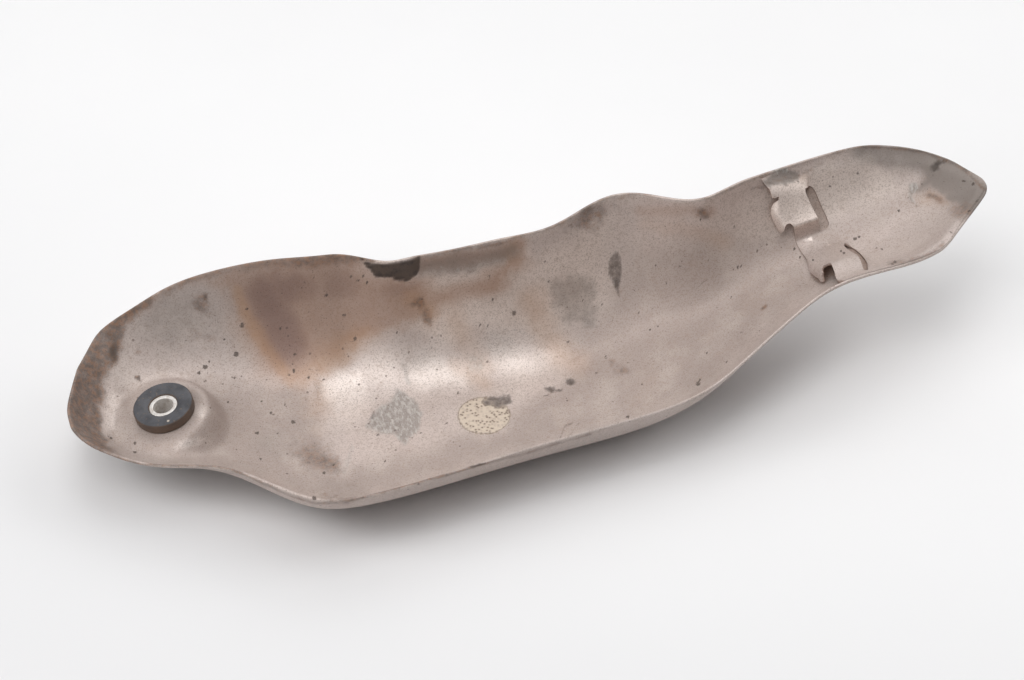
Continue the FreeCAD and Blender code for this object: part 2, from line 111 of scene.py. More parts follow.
def trough(x, y):
    yk, zk = curve(KEEL_Y, x), curve(KEEL_Z, x)
    tn = np.maximum((yk - y) / (yk - curve(NEAR_RIM_Y, x)), 0.0)
    tf = np.maximum((y - yk) / (curve(FAR_RIM_Y, x) - yk), 0.0)
    near = zk + np.maximum(curve(NEAR_RIM_Z, x) - zk, 0.0) * tn ** curve(NEAR_POWER, x)
    far = zk + np.maximum(curve(FAR_RIM_Z, x) - zk, 0.0) * tf ** curve(FAR_POWER, x)
    return np.where(y < yk, near, far)


def across(x, b):
    yn = curve(NEAR_RIM_Y, x)
    return yn + (curve(FAR_RIM_Y, x) - yn) * b


def height(x, y):
    """Height of the inner face of the pressing."""
    x, y = np.asarray(x, float), np.asarray(y, float)
    yn = curve(NEAR_RIM_Y, x)
    b = np.clip((y - yn) / (curve(FAR_RIM_Y, x) - yn), -0.06, 1.06)
    z = trough(x, y)
    xl, xr = curve(LEFT_END_X, b), curve(RIGHT_END_X, b)
    kl = np.clip(1 - (x - xl) / LEFT_WALL_W, 0.0, 2.0)
    kr = np.clip(1 - (xr - x) / RIGHT_WALL_W, 0.0, 2.0)
    z = z + (curve(LEFT_RIM_Z, b) - trough(xl, across(xl, b))) * kl ** LEFT_WALL_P
    z = z + (curve(RIGHT_RIM_Z, b) - trough(xr, across(xr, b))) * kr ** RIGHT_WALL_P
    r = np.hypot(x - BOSS_X, y - BOSS_Y)
    w = smooth5((BOSS_FOOT_R - r) / (BOSS_FOOT_R - BOSS_SEAT_R))
    seat = BOSS_Z - (AXIS[0] * (x - BOSS_X) + AXIS[1] * (y - BOSS_Y)) / AXIS[2]
    return z * (1 - w) + seat * w


def shell_point(a, b):
    xl, xr = curve(LEFT_END_X, b), curve(RIGHT_END_X, b)
    x = xl + (xr - xl) * a
    y = across(x, b)
    return np.stack([x, y, height(x, y)], -1)


def shell_normal(a, b, ea=2e-4, eb=6e-4):
    return unit(np.cross(shell_point(a + ea, b) - shell_point(a - ea, b),
                         shell_point(a, b + eb) - shell_point(a, b - eb)))


def surface_normal(x, y, e=0.05):
    zx = (height(x + e, y) - height(x - e, y)) / (2 * e)
    zy = (height(x, y + e) - height(x, y - e)) / (2 * e)
    return unit(np.stack([-zx, -zy, np.ones_like(zx)], -1))


# ------------------------------------------------------------------ camera
EYE = np.array([-132.26, -499.22, 494.15])
LOOK = np.array([-4.40, 33.33, 1.00])
FOCAL_PX = 2169.0
cam_f = unit(LOOK - EYE)
cam_r = unit(np.cross(cam_f, np.array([0.0, 0.0, 1.0])))
cam_u = np.cross(cam_r, cam_f)


def picture(p):
    """Where points of the drawing frame lie in the 1024 x 680 picture; marks on the sheet are placed by it."""
    d = p + SHIFT - EYE
    w = d @ cam_f
    return 512 + FOCAL_PX * (d @ cam_r) / w, 340 - FOCAL_PX * (d @ cam_u) / w


cam = bpy.data.cameras.new("camera")
cam.sensor_width = 36.0
cam.sensor_fit = "HORIZONTAL"
cam.lens = FOCAL_PX * 36.0 / 1024.0
cam.clip_start, cam.clip_end = 0.01, 20.0
cam_obj = bpy.data.objects.new("camera", cam)
scene.collection.objects.link(cam_obj)
cam_obj.location = Vector(EYE * MM)
cam_obj.rotation_mode = "QUATERNION"
cam_obj.rotation_quaternion = Vector(cam_f).to_track_quat("-Z", "Y")
scene.camera = cam_obj


# ------------------------------------------------------------------ numbers for uneven marks
class Field:
    """Smooth repeatable unevenness over a plane."""

    def __init__(self, seed):
        self.t = np.random.RandomState(seed).rand(256, 256)

    def one(self, x, y):
        xi, yi = np.floor(x).astype(int), np.floor(y).astype(int)
        fx, fy = step3(x - xi), step3(y - yi)
        t = self.t
        a, b = t[xi % 256, yi % 256], t[(xi + 1) % 256, yi % 256]
        c, d = t[xi % 256, (yi + 1) % 256], t[(xi + 1) % 256, (yi + 1) % 256]
        return (a + (b - a) * fx) * (1 - fy) + (c + (d - c) * fx) * fy

    def __call__(self, x, y, size, octaves=4):
        v, amp, tot = 0.0, 1.0, 0.0
        for k in range(octaves):
            s = size / 2 ** k
            v = v + amp * self.one(x / s + 17.3 * k, y / s + 5.1 * k)
            tot += amp
            amp *= 0.55
        return v / tot


F1, F2, F3, F4 = Field(3), Field(11), Field(29), Field(41)


class Marks:
    """Masks over the vertices of the inner face, drawn in picture coordinates."""

    def __init__(self, px, py):
        self.x, self.y = px, py
        self.wx = px + (F1(px, py, 18.0) - 0.5) * 16 + (F3(px, py, 6.0) - 0.5) * 6
        self.wy = py + (F2(px, py, 18.0) - 0.5) * 16 + (F4(px, py, 6.0) - 0.5) * 6

    def blob(self, cx, cy, rx, ry, turn=0.0, soft=0.5, warp=1.0):
        x = self.x + (self.wx - self.x) * warp
        y = self.y + (self.wy - self.y) * warp
        c, s = math.cos(math.radians(turn)), math.sin(math.radians(turn))
        u = ((x - cx) * c + (y - cy) * s) / rx
        v = (-(x - cx) * s + (y - cy) * c) / ry
        return step3((1 + soft - np.hypot(u, v)) / (2 * soft))

    def area(self, pts, soft=6.0, warp=1.0):
        """Soft filled polygon."""
        x = self.x + (self.wx - self.x) * warp
        y = self.y + (self.wy - self.y) * warp
        inside = np.zeros(x.shape, bool)
        dist = np.full(x.shape, 1e9)
        n = len(pts)
        for k in range(n):
            (x0, y0), (x1, y1) = pts[k], pts[(k + 1) % n]
            ex, ey = x1 - x0, y1 - y0
            t = np.clip(((x - x0) * ex + (y - y0) * ey) / (ex * ex + ey * ey), 0, 1)
            dist = np.minimum(dist, np.hypot(x - x0 - t * ex, y - y0 - t * ey))
            if y0 != y1:
                cross = ((y0 > y) != (y1 > y)) & (x < (x1 - x0) * (y - y0) / (y1 - y0) + x0)
                inside ^= cross
        d = np.where(inside, dist, -dist)
        return step3((d + soft) / (2 * soft))

    def path(self, pts, width, soft=0.6, warp=0.4):
        x = self.x + (self.wx - self.x) * warp
        y = self.y + (self.wy - self.y) * warp
        dist = np.full(x.shape, 1e9)
        for (x0, y0), (x1, y1) in zip(pts, pts[1:]):
            ex, ey = x1 - x0, y1 - y0
            t = np.clip(((x - x0) * ex + (y - y0) * ey) / (ex * ex + ey * ey), 0, 1)
            dist = np.minimum(dist, np.hypot(x - x0 - t * ex, y - y0 - t * ey))
        return step3((1 + soft - dist / width) / (2 * soft))


def top(*masks):
    out = masks[0]
    for m in masks[1:]:
        out = np.maximum(out, m)
    return out


# ------------------------------------------------------------------ mesh helpers
def new_mesh(name, verts, faces, smooth=True):
    me = bpy.data.meshes.new(name)
    me.from_pydata([tuple(v) for v in (np.asarray(verts) + SHIFT) * MM], [], [tuple(int(i) for i in f) for f in faces])
    me.validate()
    me.update()
    me.polygons.foreach_set("use_smooth", [smooth] * len(me.polygons))
    ob = bpy.data.objects.new(name, me)
    scene.collection.objects.link(ob)
    return ob


def set_mask(ob, name, channels):
    n = len(ob.data.vertices)
    att = ob.data.attributes.new(name, "FLOAT_COLOR", "POINT")
    col = np.ones((n, 4), np.float32)
    for k, c in enumerate(channels):
        col[:, k] = c
    att.data.foreach_set("color", col.ravel())


# ------------------------------------------------------------------ pressed shell
def build_shell():
    M, N = 230, 72
    s = np.linspace(0, 1, 2 * M + 1)
    t = np.linspace(0, 1, 2 * N + 1)
    b = t - 0.40 / (2 * math.pi) * np.sin(2 * math.pi * t)

    def cut(d, ra, rb):
        q = np.clip((rb - d) / rb, 0, 1)
        return ra * (1 - np.sqrt(np.maximum(1 - q * q, 0)))
    (r0, q0), (r1, q1), (r2, q2), (r3, q3) = CORNERS
    al = cut(b, r0, q0) + cut(1 - b, r3, q3)
    ar = 1 - cut(b, r1, q1) - cut(1 - b, r2, q2)
    A = al[None, :] + (ar - al)[None, :] * s[:, None]
    B = np.broadcast_to(b[None, :], A.shape)
    P = shell_point(A, B)
    Nn = shell_normal(A, B)
    # a plain coined oval in the floor of the trough
    px, py = picture(P)
    ov = np.hypot((px - 484) / 27.0, (py - 415.5) / 19.0)
    coin = step3((1.0 - ov) / 0.07)
    P = P + Nn * (0.14 * coin)[..., None]
    O = P - Nn * (SHEET + 0.14 * coin)[..., None]
    na, nb = 2 * M + 1, 2 * N + 1
    verts = [P.reshape(-1, 3)]
    inner = np.arange(na * nb).reshape(na, nb)
    # boundary loop of the fine grid, in order
    ring = [(i, 0) for i in range(na - 1)] + [(na - 1, j) for j in range(nb - 1)] \
        + [(i, nb - 1) for i in range(na - 1, 0, -1)] + [(0, j) for j in range(nb - 1, 0, -1)]
    ri = np.array([p[0] for p in ring])
    rj = np.array([p[1] for p in ring])
    RP, RO, RN = P[ri, rj], O[ri, rj], Nn[ri, rj]
    tan = unit(np.roll(RP, -1, 0) - np.roll(RP, 1, 0))
    out = unit(np.cross(tan, RN))
    base = na * nb
    rows = [inner[ri, rj]]
    for f, g in ((0.06, 0.10), (0.25, 0.24), (0.5, 0.28), (0.75, 0.24), (0.94, 0.10)):
        verts.append(RP * (1 - f) + RO * f + out * g)
        rows.append(base + np.arange(len(ring)))
        base += len(ring)
    # coarse outer grid plus the fine points of its border
    oc = O[::2, ::2].reshape(-1, 3)
    ocm = base + np.arange((M + 1) * (N + 1)).reshape(M + 1, N + 1)
    verts.append(oc)
    base += len(oc)
    border = {}
    extra = []
    for k, (i, j) in enumerate(ring):
        if i % 2 == 0 and j % 2 == 0:
            border[(i, j)] = ocm[i // 2, j // 2]
        else:
            border[(i, j)] = base + len(extra)
            extra.append(O[i, j])
    verts.append(np.array(extra))
    base += len(extra)
    rows.append(np.array([border[p] for p in ring]))
    faces = []
    # the hole of the boss
    rad = np.hypot(*(np.moveaxis(np.cross(P - SEAT, AXIS), -1, 0)[[0, 1]])) * 0 + np.linalg.norm(np.cross(P - SEAT, AXIS), axis=-1)
    cin = (rad[:-1, :-1] < BOSS_HOLE_R) | (rad[1:, :-1] < BOSS_HOLE_R) | (rad[:-1, 1:] < BOSS_HOLE_R) | (rad[1:, 1:] < BOSS_HOLE_R)
    # open whole coarse cells, so that both faces share the hole
    cc = cin.reshape(M, 2, N, 2).any(axis=(1, 3))
    cin = np.repeat(np.repeat(cc, 2, 0), 2, 1)
    I, J = np.nonzero(~cin)
    faces += list(np.stack([inner[I, J], inner[I + 1, J], inner[I + 1, J + 1], inner[I, J + 1]], 1))
    for i in range(M):
        for j in range(N):
            if cc[i, j]:
                continue
            f = [ocm[i, j]]
            if i == 0:
                f.append(border[(0, 2 * j + 1)])
            f.append(ocm[i, j + 1])
            if j == N - 1:
                f.append(border[(2 * i + 1, nb - 1)])
            f.append(ocm[i + 1, j + 1])
            if i == M - 1:
                f.append(border[(na - 1, 2 * j + 1)])
            f.append(ocm[i + 1, j])
            if j == 0:
                f.append(border[(2 * i + 1, 0)])
            faces.append(f)
    for p, q in zip(rows, rows[1:]):
        n = len(ring)
        for k in range(n):
            m = (k + 1) % n
            faces.append((p[k], q[k], q[m], p[m]))
    # wall of the hole, hidden between the rubber flanges
    for i in range(M):
        for j in range(N):
            if not cc[i, j]:
                continue
            for di, dj, e in ((-1, 0, ((0, 0), (0, 1))), (1, 0, ((1, 1), (1, 0))), (0, -1, ((1, 0), (0, 0))), (0, 1, ((0, 1), (1, 1)))):
                if cc[i + di, j + dj]:
                    continue
                (a0, b0), (a1, b1) = e
                p0 = (2 * (i + a0), 2 * (j + b0))
                p1 = (2 * (i + a1), 2 * (j + b1))
                pm = ((p0[0] + p1[0]) // 2, (p0[1] + p1[1]) // 2)
                faces.append((inner[p0], inner[pm], inner[p1], ocm[i + a1, j + b1], ocm[i + a0, j + b0]))
    verts = np.concatenate(verts)
    ob = new_mesh("shell_pressing", verts, faces)
    return ob, verts, na * nb, 5 * len(ring)


shell, shell_v, n_inner, n_rim = build_shell()

# ------------------------------------------------------------------ tail plate
PLATE_INSET, PLATE_T, PLATE_GAP = 0.004, 0.8, 0.12
LOOP1 = ((6.4, 0.0), (4.7, 2.5), (-1.6, 5.4), (-5.0, 0.0))
LOOP2 = ((-8.5, 0.0), (-12.0, 0.4), (-24.0, 3.8), (-28.0, 4.3), (-36.5, 0.1))
FOLD1 = ((3.9, 91.4), (2.9, 91.9), (1.4, 92.4), (0.0, 93.4), (-1.0, 94.4), (-2.0, 95.0), (-6.0, 95.6))
FOOT1 = ((3.4, 90.0), (3.1, 89.7), (2.0, 88.7), (1.2, 88.8), (-2.1, 91.3), (-4.0, 92.6), (-6.0, 93.6))
FOLD2 = ((-13.0, 98.5), (-15.6, 98.8), (-17.8, 99.6), (-21.8, 100.5), (-26.0, 100.7), (-36.0, 100.4))
FOOT2 = ((-13.0, 98.2), (-14.7, 98.2), (-17.6, 97.6), (-20.5, 97.0), (-23.9, 97.5), (-27.2, 98.0), (-29.0, 98.7), (-36.0, 98.6))
SIDE1 = ((5.2, 101.5), (3.1, 102.3), (-0.4, 104.3), (-2.7, 105.1), (-5.0, 105.5))
SIDE2 = ((-13.4, 110.9), (-16.0, 110.9), (-20.6, 111.4), (-26.1, 111.5), (-29.4, 111.7), (-32.5, 110.9), (-36.6, 109.8))
SLOT1 = ((100.9, 4.95), (102.8, 5.1), (104.1, 5.05), (105.0, 4.7), (105.9, 3.9), (107.4, 1.2), (108.9, -2.4), (108.8, -4.2),
    (107.8, -5.0), (105.5, -5.05), (105.2, -3.9), (104.9, -2.7), (104.1, -0.4), (102.1, 3.1))
SLOT2 = ((110.7, -15.6), (111.2, -13.9), (111.9, -13.6), (113.1, -15.8), (114.3, -19.0), (114.6, -24.4), (113.7, -28.9),
    (112.3, -33.0), (110.6, -36.6), (109.6, -36.6), (109.6, -35.4), (110.7, -32.5), (111.5, -29.4), (111.3, -26.1), (111.2, -20.6))
PLATE_LEFT = ((86.2, 5.9), (87.5, 5.2), (88.6, 4.9), (88.9, 4.3), (89.3, 3.85), (89.9, 3.8), (91.3, 4.1), (91.6, 3.9), (91.3, 3.6),
    (90.4, 3.3), (89.9, 3.05), (88.9, 2.1), (88.9, 1.2), (90.2, -0.4), (91.3, -1.9), (91.6, -2.15), (92.4, -2.15), (92.5, -1.4),
    (92.7, -0.8), (93.1, -0.5), (93.9, -0.4), (94.7, -0.5), (95.5, -1.2), (96.2, -2.3), (96.6, -3.3), (96.8, -4.3), (96.9, -5.2),
    (97.1, -6.6), (97.8, -9.4), (98.4, -13.0), (98.4, -14.7), (97.8, -17.6), (97.2, -20.5), (97.6, -23.9), (98.0, -26.9),
    (98.3, -28.3), (98.7, -29.1), (99.3, -29.0), (99.7, -28.2), (100.2, -27.6), (100.5, -27.2), (100.9, -26.3), (101.7, -25.8), (102.6, -25.6),
    (103.2, -26.0), (103.2, -27.4), (103.0, -28.9), (102.3, -31.5), (101.4, -33.8), (100.7, -35.6), (100.6, -37.5))
WELDS = ((100.9, -7.2), (106.2, -9.6))


def at_y(table, y):
    t = np.array(sorted(table))
    return np.interp(y, t[:, 0], t[:, 1])


def bends(table, y, r):
    t = np.array(sorted(table))
    return np.mean([np.interp(y + d, t[:, 0], t[:, 1], 0.0, 0.0) for d in np.linspace(-r, r, 9)], 0)


def rolled(t):
    t = np.clip(t, 0.0, 1.0)
    return (1 - (1 - t) ** 2.2) ** (1 / 2.2)


def plate_rise(x, y):
    """Height of the plate's underside above the inner face of the shell."""
    f1 = rolled((x - at_y(FOOT1, y)) / np.maximum(at_y(FOLD1, y) - at_y(FOOT1, y), 0.3))
    f1 = np.where(y > 3.6, f1 + (1 - f1) * step3((y - 3.6) / 0.3), f1)
    h1 = bends(LOOP1, y, 0.55) * f1 * (1 - step3((x - at_y(SIDE1, y) - 0.4) / 2.0))
    f2 = rolled((x - at_y(FOOT2, y)) / np.maximum(at_y(FOLD2, y) - at_y(FOOT2, y), 0.3))
    f2 = np.where(y > -15.0, f2 + (1 - f2) * step3((y + 15.0) / 3.0), f2)
    h2 = bends(LOOP2, y, 1.5) * f2 * (1 - step3((x - at_y(SIDE2, y) - 0.3) / 2.0))
    h = np.where(y > -6.4, h1, h2)
    for wx, wy in WELDS:
        h = h - 0.22 * np.exp(-((x - wx) ** 2 + (y - wy) ** 2) / 0.9)
    return PLATE_GAP + np.maximum(h, -0.10)


def chaikin(pts, closed, times=2):
    p = np.array(pts, float)
    for _ in range(times):
        if closed:
            q = np.roll(p, -1, 0)
            p = np.stack([p * 0.75 + q * 0.25, p * 0.25 + q * 0.75], 1).reshape(-1, 2)
        else:
            a, q = p[:-1], p[1:]
            mid = np.stack([a * 0.75 + q * 0.25, a * 0.25 + q * 0.75], 1).reshape(-1, 2)
            p = np.concatenate([p[:1], mid, p[-1:]])
    return p


def divide(p, size, closed):
    out = []
    n = len(p)
    for k in range(n if closed else n - 1):
        a, b = p[k], p[(k + 1) % n]
        m = max(1, int(math.ceil(np.hypot(*(b - a)) / size)))
        out += [a + (b - a) * i / m for i in range(m)]
    if not closed:
        out.append(p[-1])
    return np.array(out)


def inside(poly, x, y):
    res = np.zeros(x.shape, bool)
    n = len(poly)
    for k in range(n):
        (x0, y0), (x1, y1) = poly[k], poly[(k + 1) % n]
        if y0 != y1:
            res ^= ((y0 > y) != (y1 > y)) & (x < (x1 - x0) * (y - y0) / (y1 - y0) + x0)
    return res


def build_plate():
    kk = PLATE_INSET

    def rim(a, b):
        b = kk + (1 - 2 * kk) * np.asarray(b, float)
        xl, xr = curve(LEFT_END_X, b), curve(RIGHT_END_X, b) - 0.25
        x = xl + (xr - xl) * np.asarray(a, float)
        return np.stack([x, across(x, b)], -1)

    def corner(ca, cb, ra, rb, t0):
        t = np.radians(t0 + 90.0 * np.arange(25) / 24)
        return rim(ca + ra * np.cos(t), cb + rb * np.sin(t))
    (ra1, rb1), (ra2, rb2) = CORNERS[1], CORNERS[2]
    c1, c2 = corner(1 - ra1, rb1, ra1, rb1, -90), corner(1 - ra2, 1 - rb2, ra2, rb2, 0)
    xs = np.linspace(100.6, c1[0][0], 70)
    near = np.stack([xs, across(xs, kk)], -1)
    xs = np.linspace(c2[-1][0], 86.0, 90)
    far = np.stack([xs, across(xs, 1 - kk)], -1)
    end = rim(np.ones(40), np.linspace(rb1, 1 - rb2, 40))
    left = chaikin([tuple(far[-1])] + list(PLATE_LEFT) + [tuple(near[0])], False, 2)
    outer = np.concatenate([near[:-1], c1[:-1], end[:-1], c2[:-1], far[:-1], left[:-1]])
    outer = divide(outer, 0.42, True)
    slots = [divide(chaikin(s, True, 2), 0.35, True) for s in (SLOT1, SLOT2)]
    gx, gy = np.meshgrid(np.arange(86.0, 117.0, 0.36), np.arange(-42.0, 11.5, 0.36), indexing="ij")
    hx, hy = np.meshgrid(np.arange(117.0, 158.0, 0.60), np.arange(-42.0, 11.5, 0.60), indexing="ij")
    gx, gy = np.concatenate([gx.ravel(), hx.ravel()]), np.concatenate([gy.ravel(), hy.ravel()])
    keep = inside(outer, gx, gy)
    for s in slots:
        keep &= ~inside(s, gx, gy)
    gx, gy = gx[keep], gy[keep]
    dist = np.full(gx.shape, 1e9)
    for loop in [outer] + slots:
        for p, q in zip(loop, np.roll(loop, -1, 0)):
            m = (np.abs(gx - p[0]) < 1.2) & (np.abs(gy - p[1]) < 1.2)
            if m.any():
                e = q - p
                t = np.clip(((gx[m] - p[0]) * e[0] + (gy[m] - p[1]) * e[1]) / max(e @ e, 1e-9), 0, 1)
                dist[m] = np.minimum(dist[m], np.hypot(gx[m] - p[0] - t * e[0], gy[m] - p[1] - t * e[1]))
    keep = dist > 0.17
    pts = [outer] + slots
    edges, base = [], 0
    for loop in pts:
        n = len(loop)
        edges += [(base + i, base + (i + 1) % n) for i in range(n)]
        base += n
    pts = np.concatenate(pts + [np.stack([gx[keep], gy[keep]], -1)])
    co, _e, tris, _a, _b, _c = delaunay_2d_cdt([Vector(p) for p in pts], edges, [], 0, 1e-6)
    co = np.array([tuple(c) for c in co])
    tris = np.array([tuple(t) for t in tris])
    cen = co[tris].mean(1)
    ok = inside(outer, cen[:, 0], cen[:, 1])
    for s in slots:
        ok &= ~inside(s, cen[:, 0], cen[:, 1])
    tris = tris[ok]
    used = np.unique(tris)
    new = np.full(len(co), -1)
    new[used] = np.arange(len(used))
    co, tris = co[used], new[tris]
    e1, e2 = co[tris[:, 1]] - co[tris[:, 0]], co[tris[:, 2]] - co[tris[:, 0]]
    flip = e1[:, 0] * e2[:, 1] - e1[:, 1] * e2[:, 0] < 0
    tris[flip] = tris[flip][:, ::-1]
    x, y = co[:, 0], co[:, 1]
    P = np.stack([x, y, height(x, y)], -1)
    # the plate thins out to a feather edge where it follows the rim of the shell
    hem = divide(np.concatenate([near, c1, end, c2, far]), 0.5, False)
    gap = np.full(len(x), 1e9)
    for k in range(0, len(hem), 40):
        q = hem[k:k + 40]
        gap = np.minimum(gap, np.hypot(x[:, None] - q[None, :, 0], y[:, None] - q[None, :, 1]).min(1))
    thick = PLATE_T * (0.10 + 0.90 * step3(gap / 2.2))
    T = P + surface_normal(x, y) * (plate_rise(x, y) + thick)[:, None]
    fn = np.cross(T[tris[:, 1]] - T[tris[:, 0]], T[tris[:, 2]] - T[tris[:, 0]])
    vn = np.zeros_like(T)
    for k in range(3):
        np.add.at(vn, tris[:, k], fn)
    vn = unit(vn)
    U = T - vn * thick[:, None]
    n = len(T)
    count = {}
    for t in tris:
        for a, b in ((t[0], t[1]), (t[1], t[2]), (t[2], t[0])):
            count[(a, b)] = count.get((a, b), 0) + 1
    faces = [tuple(t) for t in tris] + [tuple(t[::-1] + n) for t in tris]
    for (a, b) in count:
        if (b, a) not in count:
            faces.append((b, a, a + n, b + n))
    verts = np.concatenate([T, U])
    ob = new_mesh("tail_liner", verts, faces)
    ob.data.set_sharp_from_angle(angle=math.radians(48))
    edge = np.zeros(len(verts))
    for (a, b) in count:
        if (b, a) not in count and gap[a] > 1.0:
            edge[[a + n, b + n]] = 1.0
    return ob, verts, n, edge


plate, plate_v, n_top, plate_edge = build_plate()


# ------------------------------------------------------------------ marks on the sheet
SPECKS = [(242, 325, 3.2), (236, 354, 3.6), (205, 367, 3.4), (199, 373, 2.4), (209, 362, 1.8), (186, 340, 1.5),
    (224, 339, 1.6), (280, 328, 2.2), (355, 339, 2.7), (294, 371, 2.7), (308, 377, 2.0), (295, 355, 2.1), (271, 413, 2.2),
    (293, 422, 2.8), (257, 433, 2.3), (278, 433, 1.7), (228, 402, 1.6), (262, 402, 1.4), (261, 459, 1.9), (135, 443, 2.3),
    (314, 277, 1.7), (326, 295, 2.7), (344, 316, 2.2), (316, 328, 1.7), (247, 309, 1.9), (234, 378, 1.8), (489, 277, 2.2),
    (493, 299, 2.2), (514, 313, 3.2), (549, 282, 2.2), (480, 325, 1.7), (488, 326, 1.3), (427, 287, 1.6), (432, 347, 1.5),
    (344, 315, 2.1), (397, 333, 1.5), (458, 393, 1.9), (446, 423, 1.5), (562, 304, 1.6), (582, 300, 1.9), (568, 342, 1.7),
    (606, 357, 1.9), (638, 312, 1.7), (666, 283, 2.0), (680, 267, 1.8), (670, 262, 1.5), (628, 417, 2.2), (738, 267, 2.6),
    (741, 266, 1.6), (734, 227, 1.8), (701, 220, 1.5), (757, 251, 1.8), (761, 246, 1.6), (794, 249, 2.0), (334, 465, 1.9),
    (324, 473, 2.3), (318, 478, 1.6), (314, 498, 3.0), (111, 438, 2.0), (135, 452, 2.0), (205, 381, 2.0), (222, 384, 1.5),
    (285, 404, 1.7), (351, 276, 2.0), (358, 280, 2.0), (363, 275, 2.0), (367, 283, 1.6), (324, 380, 1.7), (302, 287, 1.5),
    (709, 261, 1.6), (656, 266, 1.4), (732, 297, 1.5), (742, 332, 1.5), (707, 353, 1.5), (678, 363, 1.4), (726, 362, 1.6),
    (698, 384, 3.0), (700, 380, 1.8), (650, 330, 1.4), (658, 327, 1.4), (830, 186, 2.0), (858, 174, 1.7), (862, 171, 1.3),
    (899, 211, 1.8), (855, 239, 2.4), (859, 237, 1.6), (876, 248, 1.5), (882, 249, 1.3), (844, 253, 2.0), (841, 251, 1.4),
    (964, 181, 2.2), (973, 184, 2.4), (969, 211, 2.0), (977, 201, 1.8), (951, 232, 1.8), (895, 262, 2.2), (892, 264, 1.6),
    (800, 257, 1.4), (813, 260, 1.6), (385, 461, 1.9), (421, 433, 1.4), (378, 435, 1.6), (409, 353, 1.6), (602, 305, 1.6)]


